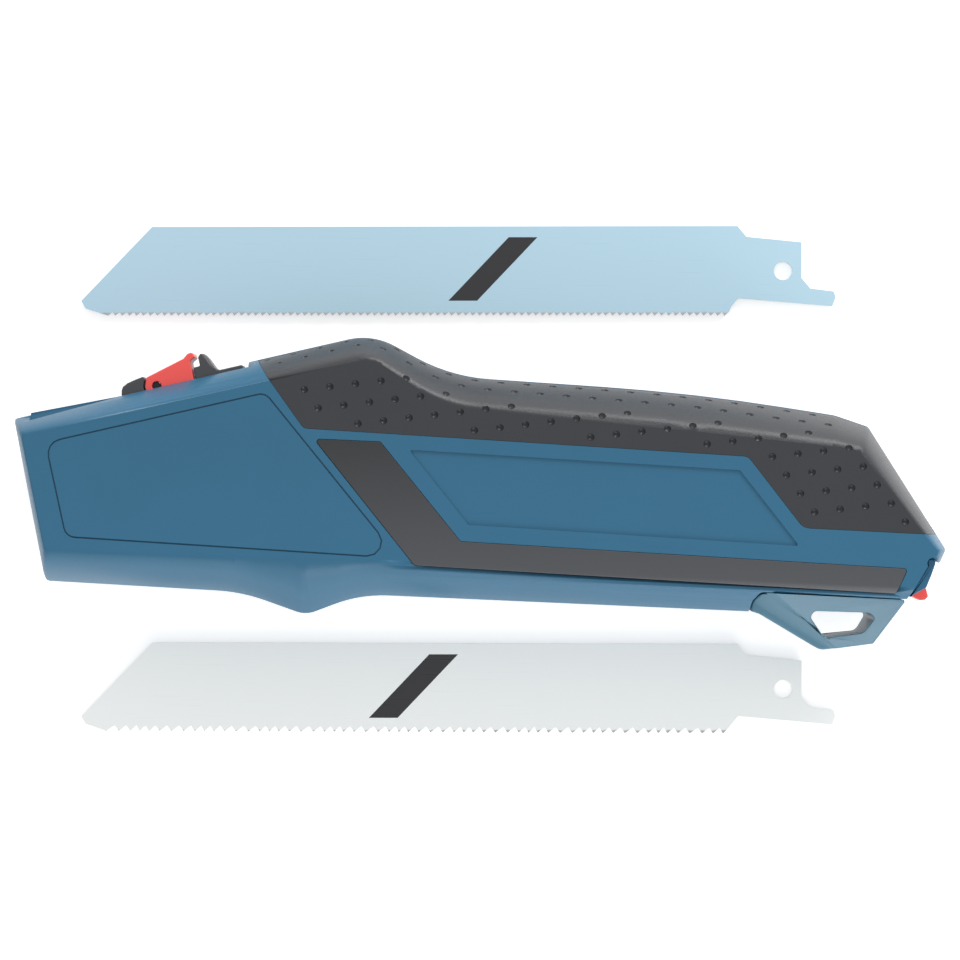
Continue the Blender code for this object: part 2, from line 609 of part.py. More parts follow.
def carriage(material):
    """Slide with a cap before the lever, a thumb hook and tail behind it and a flange under the nose top."""
    flange_top, flange_bottom = carriage_levels()
    pivot = pivot_point()
    root = (flange_top + flange_bottom) / 2
    relief = HEEL_RADIUS + CLEARANCE
    hook_front = CARRIAGE_REAR - HOOK_DEPTH
    outline = [
        (CARRIAGE_FRONT, root), (CARRIAGE_FRONT, NOSE_TOP),
        *[(CARRIAGE_FRONT + du, NOSE_TOP + dv) for du, dv in CAP_PROFILE],
        *arc(pivot, relief, 138, 180, 4), (pivot[0] - relief, flange_top),
        (hook_front, flange_top), (hook_front, NOSE_TOP + HOOK_LEDGE),
        (hook_front + HOOK_PROFILE[0][0], NOSE_TOP + HOOK_LEDGE),
        *[(hook_front + du, NOSE_TOP + dv) for du, dv in HOOK_PROFILE],
        (CARRIAGE_TAIL, NOSE_TOP + HOOK_PROFILE[-1][1]), (CARRIAGE_TAIL, NOSE_TOP - TOP_WALL / 2),
        (CARRIAGE_REAR, NOSE_TOP - TOP_WALL / 2), (CARRIAGE_REAR, root),
    ]
    width = (MID - CARRIAGE_HALF_WIDTH, MID + CARRIAGE_HALF_WIDTH)
    origin = (*nose_point(CARRIAGE_FRONT, flange_bottom), MID)
    piece = part("carriage", outline_mesh("carriage", [outline], *width, NOSE), material, origin)
    flange = box_mesh("carriage_flange", (CARRIAGE_FRONT, flange_bottom, MID - FLANGE_HALF_WIDTH),
                      (CARRIAGE_REAR, flange_top, MID + FLANGE_HALF_WIDTH), NOSE)
    shape(piece, cutter("carriage_flange", flange), "UNION")
    lug = [*arc(pivot, LUG_RADIUS, 0, 180, 8), (pivot[0] - LUG_RADIUS, root), (pivot[0] + LUG_RADIUS, root)]
    lug_half = CARRIAGE_HALF_WIDTH - LEVER_CHEEK - CLEARANCE
    lug = outline_mesh("carriage_lug", [lug], MID - lug_half, MID + lug_half, NOSE)
    shape(piece, cutter("carriage_lug", lug), "UNION")
    half = STIRRUP_WIDTH / 2 + CLEARANCE
    channel_top = flange_bottom + STIRRUP_TRAVEL + STIRRUP_BASE + 2 * CLEARANCE
    channel = box_mesh("carriage_channel", (STIRRUP_U - half, flange_bottom - BEYOND, MID - BEYOND),
                       (STIRRUP_U + half, channel_top, MID + BEYOND), NOSE)
    shape(piece, cutter("carriage_channel", channel))
    post = STIRRUP_POST_HALF + CLEARANCE
    window = box_mesh("carriage_window", (STIRRUP_U - half, flange_bottom, MID - post),
                      (STIRRUP_U + half, flange_top + BEYOND, MID + post), NOSE)
    shape(piece, cutter("carriage_window", window))
    shape(piece, pin_hole("carriage_pin_hole"))
    for name, u, hand in HOLDER_SCREWS:
        shape(piece, holder_screw_hole(f"carriage_{name}_hole", u, hand))
    return piece


def pin_hole(name):
    """Hole for the lever's pin."""
    place = NOSE @ Matrix.Translation((*pivot_point(), MID))
    radius = LEVER_PIN_RADIUS + PIN_CLEARANCE
    return cutter(name, rod_mesh(name, radius, -BEYOND, BEYOND, place, SMALL_ROUND_STEPS))


def lever(material):
    """Release lever: a roof on two cheeks, with a heel about its pin and a lip over the hook's ledge."""
    pivot = Vector(pivot_point())
    local = [LEVER_FRONT_TOP, LEVER_REAR_TOP, *LEVER_LIP, (LEVER_REAR, LEVER_LIP[-1][1] - CLEARANCE),
             (LEVER_REAR, LEVER_BOTTOM), (HEEL_RADIUS, LEVER_BOTTOM)]
    outline = [tuple(pivot + Vector(point)) for point in local]
    outline += arc(pivot, HEEL_RADIUS, -60, -210, 8)
    width = (MID - CARRIAGE_HALF_WIDTH, MID + CARRIAGE_HALF_WIDTH)
    origin = (*nose_point(*pivot), MID)
    piece = part("release_lever", outline_mesh("release_lever", [outline], *width, NOSE), material, origin)
    run = Vector(LEVER_REAR_TOP) - Vector(LEVER_FRONT_TOP)
    rise = run.y / run.x
    roof = LEVER_FRONT_TOP[1] - LEVER_ROOF
    ends = [LEVER_FRONT_TOP[0] - HEEL_RADIUS, LEVER_REAR - LEVER_ROOF]
    under = [(end, roof + (end - LEVER_FRONT_TOP[0]) * rise) for end in ends]
    gap = [under[0], under[1], (ends[1], -2 * HEEL_RADIUS), (ends[0], -2 * HEEL_RADIUS)]
    gap_half = CARRIAGE_HALF_WIDTH - LEVER_CHEEK
    loop = [tuple(pivot + Vector(point)) for point in gap]
    shape(piece, cutter("lever_gap", outline_mesh("lever_gap", [loop], MID - gap_half, MID + gap_half, NOSE)))
    return shape(piece, pin_hole("lever_pin_hole"))


def lever_pin(material):
    """Pin through the lever's cheeks and the carriage's lug."""
    half = CARRIAGE_HALF_WIDTH - CLEARANCE
    place = NOSE @ Matrix.Translation((*pivot_point(), MID))
    pin = rod_mesh("lever_pin", LEVER_PIN_RADIUS, -half, half, place, SMALL_ROUND_STEPS)
    part("lever_pin", pin, material)


def stirrup_levels():
    """Heights on the nose of the stirrup's base and of the top of its post."""
    base = carriage_levels()[1] + STIRRUP_TRAVEL + CLEARANCE
    run = Vector(LEVER_REAR_TOP) - Vector(LEVER_FRONT_TOP)
    reach = STIRRUP_U - STIRRUP_WIDTH / 2 - PIVOT_U - LEVER_FRONT_TOP[0]
    roof = pivot_point()[1] + LEVER_FRONT_TOP[1] - LEVER_ROOF + reach * run.y / run.x
    return base, roof - CLEARANCE


def lock_stirrup(material):
    """Brake that the springs press up against the nose top, and that the lever pushes down."""
    base, post_top = stirrup_levels()
    inner = FLANGE_HALF_WIDTH + CLEARANCE
    outer = inner + STIRRUP_WING
    top = NOSE_TOP - TOP_WALL - CLEARANCE
    shelf = base + STIRRUP_BASE
    half_post = STIRRUP_POST_HALF
    loop = [(-outer, base), (outer, base), (outer, top), (inner, top), (inner, shelf), (half_post, shelf),
            (half_post, post_top), (-half_post, post_top), (-half_post, shelf), (-inner, shelf), (-inner, top),
            (-outer, top)]
    turn = Matrix(((0, 0, -1, STIRRUP_U), (0, 1, 0, 0), (1, 0, 0, MID), (0, 0, 0, 1)))
    mesh = outline_mesh("lock_stirrup", [loop], -STIRRUP_WIDTH / 2, STIRRUP_WIDTH / 2, NOSE @ turn)
    part("lock_stirrup", mesh, material, (*nose_point(STIRRUP_U, base), MID))


def upright(u, v, z):
    """Place whose Z axis stands square to the nose top."""
    return NOSE @ Matrix.Translation((u, v, z)) @ Matrix.Rotation(-math.pi / 2, 4, "X")


def spring_seat():
    """Height on the nose of the floor of the spring pockets."""
    return carriage_levels()[1] - CLEARANCE - SPRING_LENGTH + SPRING_WIRE


def lock_spring(hand, material):
    """Coil spring under one side of the stirrup, drawn as long as it is when the lever is pressed."""
    name = f"lock_spring_{'left' if hand > 0 else 'right'}"
    curve = bpy.data.curves.new(name, "CURVE")
    curve.dimensions = "3D"
    curve.bevel_depth = SPRING_WIRE
    curve.bevel_resolution = 1
    curve.use_fill_caps = True
    count = int(SPRING_TURNS * SPRING_POINTS) + 1
    spline = curve.splines.new("POLY")
    spline.points.add(count - 1)
    rise = SPRING_LENGTH - 2 * SPRING_WIRE - CLEARANCE
    for index, point in enumerate(spline.points):
        turn = 2 * math.pi * index / SPRING_POINTS
        height = SPRING_WIRE + CLEARANCE + rise * index / (count - 1)
        point.co = (SPRING_RADIUS * math.cos(turn), SPRING_RADIUS * math.sin(turn), height, 1.0)
    piece = part(name, curve, material)
    piece.matrix_world = upright(STIRRUP_U, spring_seat(), MID + hand * SPRING_OFFSET)


def holder_levels():
    """Heights on the nose of the holder's top, of its blade stud and of its bottom."""
    top = carriage_levels()[1] - CLEARANCE
    stud = top - STUD_DROP
    return top, stud, stud - TANG_SLOT_HEIGHT / 2 - HOLDER_FLOOR


def blade_holder(material):
    """Steel block with a slot for a blade's tang, hung under the carriage."""
    top, stud, bottom = holder_levels()
    mesh = box_mesh("blade_holder", (HOLDER_FRONT, bottom, MID - HOLDER_HALF_WIDTH),
                    (HOLDER_REAR, top, MID + HOLDER_HALF_WIDTH), NOSE)
    piece = part("blade_holder", mesh, material)
    floor = bottom + HOLDER_FLOOR
    rear = HOLDER_REAR - TANG_SLOT_END_WALL
    slot = box_mesh("tang_slot", (HOLDER_FRONT - BEYOND, floor, MID - TANG_SLOT_HALF),
                    (rear, floor + TANG_SLOT_HEIGHT, MID + TANG_SLOT_HALF), NOSE)
    shape(piece, cutter("tang_slot", slot))
    place = NOSE @ Matrix.Translation((STUD_U, stud, MID))
    hole = rod_mesh("stud_hole", STUD_RADIUS + PIN_CLEARANCE, -BEYOND, 0.0, place)
    shape(piece, cutter("stud_hole", hole))
    for hand in (1, -1):
        pocket = rod_mesh(f"spring_pocket_{hand}", SPRING_RADIUS + SPRING_WIRE + CLEARANCE / 2, 0.0, BEYOND,
                          upright(STIRRUP_U, spring_seat(), MID + hand * SPRING_OFFSET), SMALL_ROUND_STEPS)
        shape(piece, cutter(f"spring_pocket_{hand}", pocket))
    for name, u, hand in HOLDER_SCREWS:
        shape(piece, holder_screw_hole(f"holder_{name}_hole", u, hand))
    return piece


def blade_stud(material):
    """Stud that enters the hole in a blade's tang."""
    place = NOSE @ Matrix.Translation((STUD_U, holder_levels()[1], MID))
    near_end = CLEARANCE - HOLDER_HALF_WIDTH
    part("blade_stud", rod_mesh("blade_stud", STUD_RADIUS, near_end, 0.0, place), material)


def blade_leaf(material):
    """Bowed leaf spring that keeps the tang on its stud."""
    rear = HOLDER_REAR - TANG_SLOT_END_WALL - CLEARANCE
    front = rear - LEAF_LENGTH
    seat = TANG_SLOT_HALF - PIN_CLEARANCE
    steps = 8
    outer = []
    for step in range(steps + 1):
        share = step / steps
        outer.append((front + LEAF_LENGTH * share, seat - LEAF_BOW * math.sin(math.pi * share)))
    inner = [(u, height - LEAF_THICKNESS) for u, height in reversed(outer)]
    centre = holder_levels()[1]
    turn = Matrix(((1, 0, 0, 0), (0, 0, -1, centre), (0, 1, 0, MID), (0, 0, 0, 1)))
    mesh = outline_mesh("blade_leaf", [outer + inner], -LEAF_HEIGHT / 2, LEAF_HEIGHT / 2, NOSE @ turn)
    part("blade_leaf", mesh, material)


def holder_screw_place(u, hand):
    """Place of a holder screw, with its Z axis up and its origin under its head."""
    level = carriage_levels()[0] - HOLDER_SCREW_HEAD[1] - CLEARANCE
    return upright(u, level, MID + hand * HOLDER_SCREW_OFFSET)


def holder_screw_hole(name, u, hand):
    """Stepped hole through the carriage's flange into the holder."""
    head, shank = HOLDER_SCREW_HEAD[0] + PIN_CLEARANCE, HOLDER_SCREW_SHANK[0] + PIN_CLEARANCE
    deep = -HOLDER_SCREW_SHANK[1] - CLEARANCE
    points = [(0.0, BEYOND / 10), (head, BEYOND / 10), (head, -CLEARANCE), (shank, -CLEARANCE),
              (shank, deep), (0.0, deep)]
    tool = turned(cutter(name, profile_mesh(name, points)), SMALL_ROUND_STEPS)
    tool.matrix_world = holder_screw_place(u, hand)
    return tool


def holder_screw(name, u, hand, material):
    """Small screw that hangs the holder under the carriage."""
    (head, height), (shank, length) = HOLDER_SCREW_HEAD, HOLDER_SCREW_SHANK
    points = [(0.0, height), (head, height), (head, 0.0), (shank, 0.0), (shank, -length), (0.0, -length)]
    label = f"holder_screw_{name}"
    piece = turned(part(label, profile_mesh(label, points), material), SMALL_ROUND_STEPS)
    piece.matrix_world = holder_screw_place(u, hand)


def storage_lid(material):
    """Lid of the blade channel, with knuckles, gaps for the shells' ears and a notch for its catch."""
    inner = CLEARANCE
    t, n = LID_HINGE
    loop = [*arc(LID_HINGE, LID_KNUCKLE_RADIUS, 90, 270, 8), (t + LID_KNUCKLE_RADIUS, inner),
            (LID_OUTER[-1][0], inner), *reversed(LID_OUTER)]
    hinge = LID @ Matrix.Translation((t, n, MID))
    mesh = outline_mesh("storage_lid", [loop], MID - LID_HALF_WIDTH, MID + LID_HALF_WIDTH, LID)
    piece = part("storage_lid", mesh, material, hinge.translation)
    for side in (1, -1):
        bottom, top = span(side, EAR_START - CLEARANCE, EAR_END + CLEARANCE)
        high = (t + LID_KNUCKLE_RADIUS + CLEARANCE, BEYOND, top)
        gap = box_mesh(f"lid_gap_{side}", (-BEYOND, -BEYOND, bottom), high, LID)
        shape(piece, cutter(f"lid_gap_{side}", gap))
    half = LID_PIN_HALF + CLEARANCE
    bore = rod_mesh("lid_bore", LID_PIN_RADIUS + PIN_CLEARANCE, -half, half, hinge, SMALL_ROUND_STEPS)
    shape(piece, cutter("lid_bore", bore))
    end = CATCH_TOP - CATCH_TRAVEL - CLEARANCE
    half = CATCH_HALF_WIDTH + CLEARANCE
    notch = box_mesh("lid_notch", (end, -BEYOND, MID - half), (BEYOND, BEYOND, MID + half), LID)
    shape(piece, cutter("lid_notch", notch))
    low, high = catch_tongue_levels()
    wide = half + CATCH_TONGUE
    corner = (BEYOND, high + CLEARANCE, MID + wide)
    groove = box_mesh("lid_groove", (end, low - CLEARANCE, MID - wide), corner, LID)
    return shape(piece, cutter("lid_groove", groove))


def catch_tongue_levels():
    """Heights above the lid's seat of the tongues that guide the catch."""
    return 2.5 * CLEARANCE, 4.5 * CLEARANCE


def lid_pin(material):
    """Hinge pin of the lid, held in the shells' ears."""
    place = LID @ Matrix.Translation((*LID_HINGE, MID))
    mesh = rod_mesh("lid_pin", LID_PIN_RADIUS, -LID_PIN_HALF, LID_PIN_HALF, place, SMALL_ROUND_STEPS)
    part("lid_pin", mesh, material)


def lid_catch(material):
    """Sliding catch of the lid, with a nub for the thumb and a nose inside the channel's edge."""
    nose_end, nose_depth = CATCH_NOSE
    loop = [(CATCH_TOP, nose_depth), (nose_end, nose_depth), (nose_end, CLEARANCE),
            (CATCH_PROFILE[-1][0], CLEARANCE), *reversed(CATCH_PROFILE),
            (CATCH_TOP, CATCH_PROFILE[0][1] - CLEARANCE)]
    origin = LID @ Vector((CATCH_TOP, CLEARANCE, MID))
    mesh = outline_mesh("lid_catch", [loop], MID - CATCH_HALF_WIDTH, MID + CATCH_HALF_WIDTH, LID)
    piece = part("lid_catch", mesh, material, origin)
    low, high = catch_tongue_levels()
    wide = CATCH_HALF_WIDTH + CATCH_TONGUE
    corner = (CATCH_TOP + CLEARANCE, low, MID - wide)
    tongues = box_mesh("catch_tongues", corner, (nose_end, high, MID + wide), LID)
    shape(piece, cutter("catch_tongues", tongues), "UNION")


def hang_loop(material):
    """Loop for a hook, thin at its bottom and along its front rim, with a tongue in the shells."""
    top = [(x + CLEARANCE, y - CLEARANCE, radius) for x, y, radius in LOOP_SEAM[1:3]]
    rear = (LOOP_SEAM[3][0] - CLEARANCE, LOOP_SEAM[3][1] - CLEARANCE, CLEARANCE)
    outline = [LOOP_FRONT, *top, rear, *LOOP_OUTER]
    mesh = outline_mesh("hang_loop", [rounded(outline), rounded(LOOP_HOLE)], 0.0, 2 * HALF_THICKNESS)
    piece = part("hang_loop", mesh, material)
    sides = [(y, MID + half) for y, half in LOOP_SIDE] + [(y, MID - half) for y, half in reversed(LOOP_SIDE)]
    turn = Matrix(((0, 0, 1, 0), (1, 0, 0, 0), (0, 1, 0, 0), (0, 0, 0, 1)))
    width = outline_mesh("loop_width", [sides], LOOP_SEAM[0][0] - BEYOND, LOOP_SEAM[3][0] + BEYOND, turn)
    shape(piece, cutter("loop_width", width), "INTERSECT")
    bottom, bend = Vector(LOOP_OUTER[1][:2]), Vector(LOOP_OUTER[2][:2])
    along = (bottom - bend).normalized()
    rim = [(-BEYOND, RIM_SIDE[0][1]), *RIM_SIDE, (2 * BEYOND, RIM_SIDE[-1][1])]
    rim = rim + [(inwards, -half) for inwards, half in reversed(rim)]
    turn = Matrix((
        (-along.y, 0, along.x, bend.x), (along.x, 0, along.y, bend.y), (0, 1, 0, MID), (0, 0, 0, 1),
    ))
    shape(piece, cutter("loop_rim", outline_mesh("loop_rim", [rim], -BEYOND, 2 * BEYOND, turn)), "INTERSECT")
    for name, low, high in tongue_boxes(0.0):
        shape(piece, cutter(f"loop_{name}", box_mesh(f"loop_{name}", low, high)), "UNION")


def teeth(pitches, depth):
    """Tooth line from the tang to the tip: a gullet and a tooth point for each pitch, in turn."""
    (start, line), (end, _) = BLADE_TEETH
    points = []
    place = start
    index = 0
    while place - pitches[index % len(pitches)] > end:
        pitch = pitches[index % len(pitches)]
        points.append((place - pitch * 0.1, line + depth))
        points.append((place - pitch * 0.75, line))
        place -= pitch
        index += 1
    return points


def blade(name, pitches, depth, place, material):
    """Flat blade with a tapered tip, a row of teeth and a hooked tang with a hole."""
    outline = [*BLADE_BACK, *BLADE_TANG_TOP, *BLADE_SPUR, *BLADE_TANG_FOOT, *teeth(pitches, depth), BLADE_NOSE]
    x, y, radius = BLADE_HOLE
    hole = arc((x, y), radius, 0, 345, 23)
    mesh = outline_mesh(name, [outline, hole], 0.0, BLADE_THICKNESS, place)
    part(name, mesh, material, place @ Vector((x, y, 0.0)))


def build():
    """Make every sub-part."""
    clear_scene()
    blue = finish("blue_plastic", HOUSING_BLUE, 0.45)
    rubber = finish("grip_rubber", SLATE, 0.80)
    inlay = finish("slate_plastic", (0.075, 0.077, 0.082), 0.40)
    black = finish("black_plastic", (0.035, 0.036, 0.040), 0.45)
    red = finish("red_plastic", (0.75, 0.075, 0.065), 0.35)
    steel = finish("bright_steel", BLADE_STEEL, 0.30, 1.0)
    for side in (1, -1):
        seats = [let_in("grip", side, GRIP_REGION, GRIP_DEPTH, SPINE_HALF_WIDTH, rubber),
                 let_in("inlay", side, INLAY_REGION, INLAY_DEPTH, SPINE_HALF_WIDTH, inlay)]
        shell(side, seats, blue)
    for number, (x, y) in enumerate(SHELL_SCREWS, start=1):
        shell_screw(number, x, y, steel)
    carriage(black)
    lever(red)
    lever_pin(steel)
    lock_stirrup(steel)
    lock_spring(1, steel)
    lock_spring(-1, steel)
    blade_holder(steel)
    blade_stud(steel)
    blade_leaf(steel)
    for name, u, hand in HOLDER_SCREWS:
        holder_screw(name, u, hand, steel)
    storage_lid(blue)
    lid_pin(steel)
    lid_catch(red)
    hang_loop(blue)
    pale_blue = finish("pale_blue_paint", (0.46, 0.65, 0.77), 0.35, 0.3)
    pale_grey = finish("pale_grey_paint", (0.80, 0.82, 0.82), 0.35, 0.3)
    blade("fine_tooth_blade", [FINE_PITCH], FINE_TOOTH, Matrix(), pale_blue)
    pivot = Matrix.Translation((*BLADE_HOLE[:2], 0.0))
    turn = pivot @ Matrix.Rotation(COARSE_TURN, 4, "Z") @ pivot.inverted()
    lower = Matrix.Translation((0.0, COARSE_SHIFT, 0.0)) @ turn
    blade("coarse_tooth_blade", COARSE_PITCHES, COARSE_TOOTH, lower, pale_grey)


build()
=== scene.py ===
# %% [markdown]
# # A hand-saw handle and its two blades
# The handle is two blue plastic shells with rubber grips. A red lever on its nose frees the blade carriage.
# Two straight saw blades lie beside it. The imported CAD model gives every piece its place, so this lesson only
# has to give the pieces their rounded edges, their dimples and their finishes.

import json
import math

import bmesh
import bpy
from mathutils import Matrix, Vector
from mathutils.bvhtree import BVHTree
from mathutils.geometry import barycentric_transform


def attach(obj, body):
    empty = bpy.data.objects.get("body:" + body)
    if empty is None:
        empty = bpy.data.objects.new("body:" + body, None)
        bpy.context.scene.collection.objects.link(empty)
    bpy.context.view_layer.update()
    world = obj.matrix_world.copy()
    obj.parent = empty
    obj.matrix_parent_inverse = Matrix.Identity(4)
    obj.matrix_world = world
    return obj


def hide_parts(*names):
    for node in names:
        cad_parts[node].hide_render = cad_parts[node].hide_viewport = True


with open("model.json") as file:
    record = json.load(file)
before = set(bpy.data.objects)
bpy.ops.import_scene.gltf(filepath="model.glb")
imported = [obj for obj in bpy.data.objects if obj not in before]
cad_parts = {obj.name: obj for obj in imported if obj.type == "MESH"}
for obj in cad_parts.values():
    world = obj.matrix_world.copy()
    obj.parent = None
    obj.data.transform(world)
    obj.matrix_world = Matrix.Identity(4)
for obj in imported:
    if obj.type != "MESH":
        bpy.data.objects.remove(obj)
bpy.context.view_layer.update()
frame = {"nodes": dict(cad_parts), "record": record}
nodes = frame["nodes"]
scene = bpy.context.scene
scene.view_settings.view_transform = "Standard"

# %% [markdown]
# ## The camera
# The photograph looks straight down on the table from about 65 cm. A new camera already looks down its own
# -Z axis, so it needs no turn. The lens follows from the width that the picture shows on the table.

# %% Camera above the table
VIEW_HEIGHT = 0.650
VIEW_WIDTH = 0.1936
SENSOR_WIDTH = 36.0

camera = bpy.data.objects.new("camera", bpy.data.cameras.new("camera"))
camera.data.sensor_width = SENSOR_WIDTH
camera.data.lens = SENSOR_WIDTH * VIEW_HEIGHT / VIEW_WIDTH
camera.data.clip_start = 0.01
camera.location = (0.0, 0.0, VIEW_HEIGHT)
scene.collection.objects.link(camera)
scene.camera = camera
print("lens in mm:", round(camera.data.lens, 1))

# %% [markdown]
# ## Table
# The picture has a white ground with a soft shadow. Lamps that are right for the handle leave a white plate
# grey, and stronger lamps would bleach the handle. So the plate glows a little, but only for the rays of the
# camera, of mirrors and of glass, and it still takes the shadow.


# %% Small helpers for objects and shader nodes
def object_from(name, bm):
    """Object in the scene that takes over a bmesh."""
    mesh = bpy.data.meshes.new(name)
    bm.to_mesh(mesh)
    bm.free()
    made = bpy.data.objects.new(name, mesh)
    scene.collection.objects.link(made)
    return made


def new_material(name):
    """Material with its node tree and its shader."""
    material = bpy.data.materials.new(name)
    material.use_nodes = True
    tree = material.node_tree
    return material, tree, tree.nodes["Principled BSDF"]


def feed(tree, given, socket):
    """Give a socket a link, or a plain number or colour."""
    if isinstance(given, (int, float, tuple)):
        socket.default_value = given
    else:
        tree.links.new(given, socket)


def math_node(tree, operation, *values):
    """Result of a math node that is fed with sockets or plain numbers."""
    node = tree.nodes.new("ShaderNodeMath")
    node.operation = operation
    for index, value in enumerate(values):
        feed(tree, value, node.inputs[index])
    return node.outputs[0]


# %% White floor
FLOOR_REACH = 3.0
FLOOR_DROP = 0.0005
FLOOR_COLOUR = (0.80, 0.80, 0.80, 1.0)
FLOOR_ROUGHNESS = 0.9
FLOOR_GLOW = 0.55
WHITE = (1.0, 1.0, 1.0, 1.0)


def seen_directly(tree):
    """Mask of the rays that look at a surface straight, in a mirror or through glass."""
    path = tree.nodes.new("ShaderNodeLightPath")
    mirrored_too = math_node(tree, "MAXIMUM", path.outputs["Is Camera Ray"], path.outputs["Is Glossy Ray"])
    return math_node(tree, "MAXIMUM", mirrored_too, path.outputs["Is Transmission Ray"])


floor_shape = bmesh.new()
bmesh.ops.create_grid(floor_shape, x_segments=1, y_segments=1, size=FLOOR_REACH)
floor = object_from("floor", floor_shape)
floor.location = (0.0, 0.0, -FLOOR_DROP)

table_top, table_tree, table_shader = new_material("white_table")
table_shader.inputs["Base Color"].default_value = FLOOR_COLOUR
table_shader.inputs["Roughness"].default_value = FLOOR_ROUGHNESS
table_shader.inputs["Specular IOR Level"].default_value = 0.0
table_shader.inputs["Emission Color"].default_value = WHITE
glow = math_node(table_tree, "MULTIPLY", seen_directly(table_tree), FLOOR_GLOW)
table_tree.links.new(glow, table_shader.inputs["Emission Strength"])
floor.data.materials.append(table_top)
print("floor:", floor.name, table_top.name)

# %% [markdown]
# ## Light
# The flanks of the handle are lighter than its flat side, most of all at its rear end. A lamp overhead would
# light the flat side most, so two wide lamps stand low beyond the long sides, towards the rear end. The low
# sky is bright beside the handle and dim beyond its ends.


# %% Sky
SKY_AT_SIDES = 1.25
SKY_AT_ENDS = 0.45
SKY_OVERHEAD = 0.70


def axes(tree, place):
    """The X, Y and Z sockets of a place."""
    split = tree.nodes.new("ShaderNodeSeparateXYZ")
    tree.links.new(place, split.inputs["Vector"])
    return split.outputs


def map_range(tree, value, start, end, low, high):
    """Result that goes from low to high while a value goes from start to end."""
    node = tree.nodes.new("ShaderNodeMapRange")
    for label, given in (("Value", value), ("From Min", start), ("From Max", end), ("To Min", low),
                         ("To Max", high)):
        feed(tree, given, node.inputs[label])
    return node.outputs["Result"]


sky = bpy.data.worlds.new("pale_sky")
sky.use_nodes = True
scene.world = sky
sky_tree = sky.node_tree
backdrop = sky_tree.nodes["Background"]
backdrop.inputs["Color"].default_value = WHITE
direction = axes(sky_tree, sky_tree.nodes.new("ShaderNodeTexCoord").outputs["Generated"])
sideways = math_node(sky_tree, "ABSOLUTE", direction["Y"])
low_sky = map_range(sky_tree, sideways, 0.0, 1.0, SKY_AT_ENDS, SKY_AT_SIDES)
dome = map_range(sky_tree, direction["Z"], 0.0, 1.0, low_sky, SKY_OVERHEAD)
sky_tree.links.new(dome, backdrop.inputs["Strength"])
print("sky beside, beyond and above the handle:", SKY_AT_SIDES, SKY_AT_ENDS, SKY_OVERHEAD)

# %% Lamps
LAMP_LENGTH = 0.60
LAMP_HEIGHT = 0.30
LAMPS = {"lamp_above": (5.1, (0.34, 0.70, 0.34)), "lamp_below": (2.9, (0.30, -0.70, 0.28))}

for lamp_name, (watts, stand) in LAMPS.items():
    light = bpy.data.lights.new(lamp_name, "AREA")
    light.shape = "RECTANGLE"
    light.size = LAMP_LENGTH
    light.size_y = LAMP_HEIGHT
    light.energy = watts
    lamp = bpy.data.objects.new(lamp_name, light)
    lamp.location = stand
    lamp.rotation_euler = (-Vector(stand)).to_track_quat("-Z", "Y").to_euler()
    scene.collection.objects.link(lamp)
print("lamps:", list(LAMPS))

# %% [markdown]
# ## Shared surface effects
# Moulded plastic and rubber are never perfectly even: the mould leaves a fine grain, and the colour drifts a
# little over a few centimetres. The same group also paints light into the colour: a piece gets lighter towards
# its lower edge, where the lamp below lights it. Each finish could have its own noise nodes, but a node group
# keeps the effect in one place, and each finish sets its own amounts. One group serves every moulded piece. A
# second group draws the fine lines that grinding leaves on steel.


# %% Helpers for node groups
def new_group(name, inputs, outputs):
    """Empty shader group with named sockets."""
    group = bpy.data.node_groups.new(name, "ShaderNodeTree")
    for label, kind in inputs:
        group.interface.new_socket(label, in_out="INPUT", socket_type=kind)
    for label, kind in outputs:
        group.interface.new_socket(label, in_out="OUTPUT", socket_type=kind)
    return group, group.nodes.new("NodeGroupInput"), group.nodes.new("NodeGroupOutput")


def noise(tree, coordinates, scale, detail=2.0):
    """Noise texture on given coordinates."""
    texture = tree.nodes.new("ShaderNodeTexNoise")
    texture.inputs["Scale"].default_value = scale
    texture.inputs["Detail"].default_value = detail
    tree.links.new(coordinates, texture.inputs["Vector"])
    return texture.outputs["Fac"]


def spread_by(tree, value, low, high, amount):
    """Value from 0 to 1 spread between low and high, then multiplied by an amount socket."""
    return math_node(tree, "MULTIPLY", map_range(tree, value, 0.0, 1.0, low, high), amount)


def object_place(tree):
    """Coordinates of the piece itself."""
    return tree.nodes.new("ShaderNodeTexCoord").outputs["Object"]


# %% Grain and painted light of the mouldings
CLOUD_SCALE = 70.0
CLOUD_DETAIL = 4.0
SPECKLE_SCALE = 2600.0
GRAIN_GLOSS_RANGE = (0.85, 1.15)
# Painted light: between these two heights the colour gets lighter towards the lower edge, where the lamp below
# lights the pieces.
LOW_LIGHT_TOP = 0.010
LOW_LIGHT_FOOT = -0.022


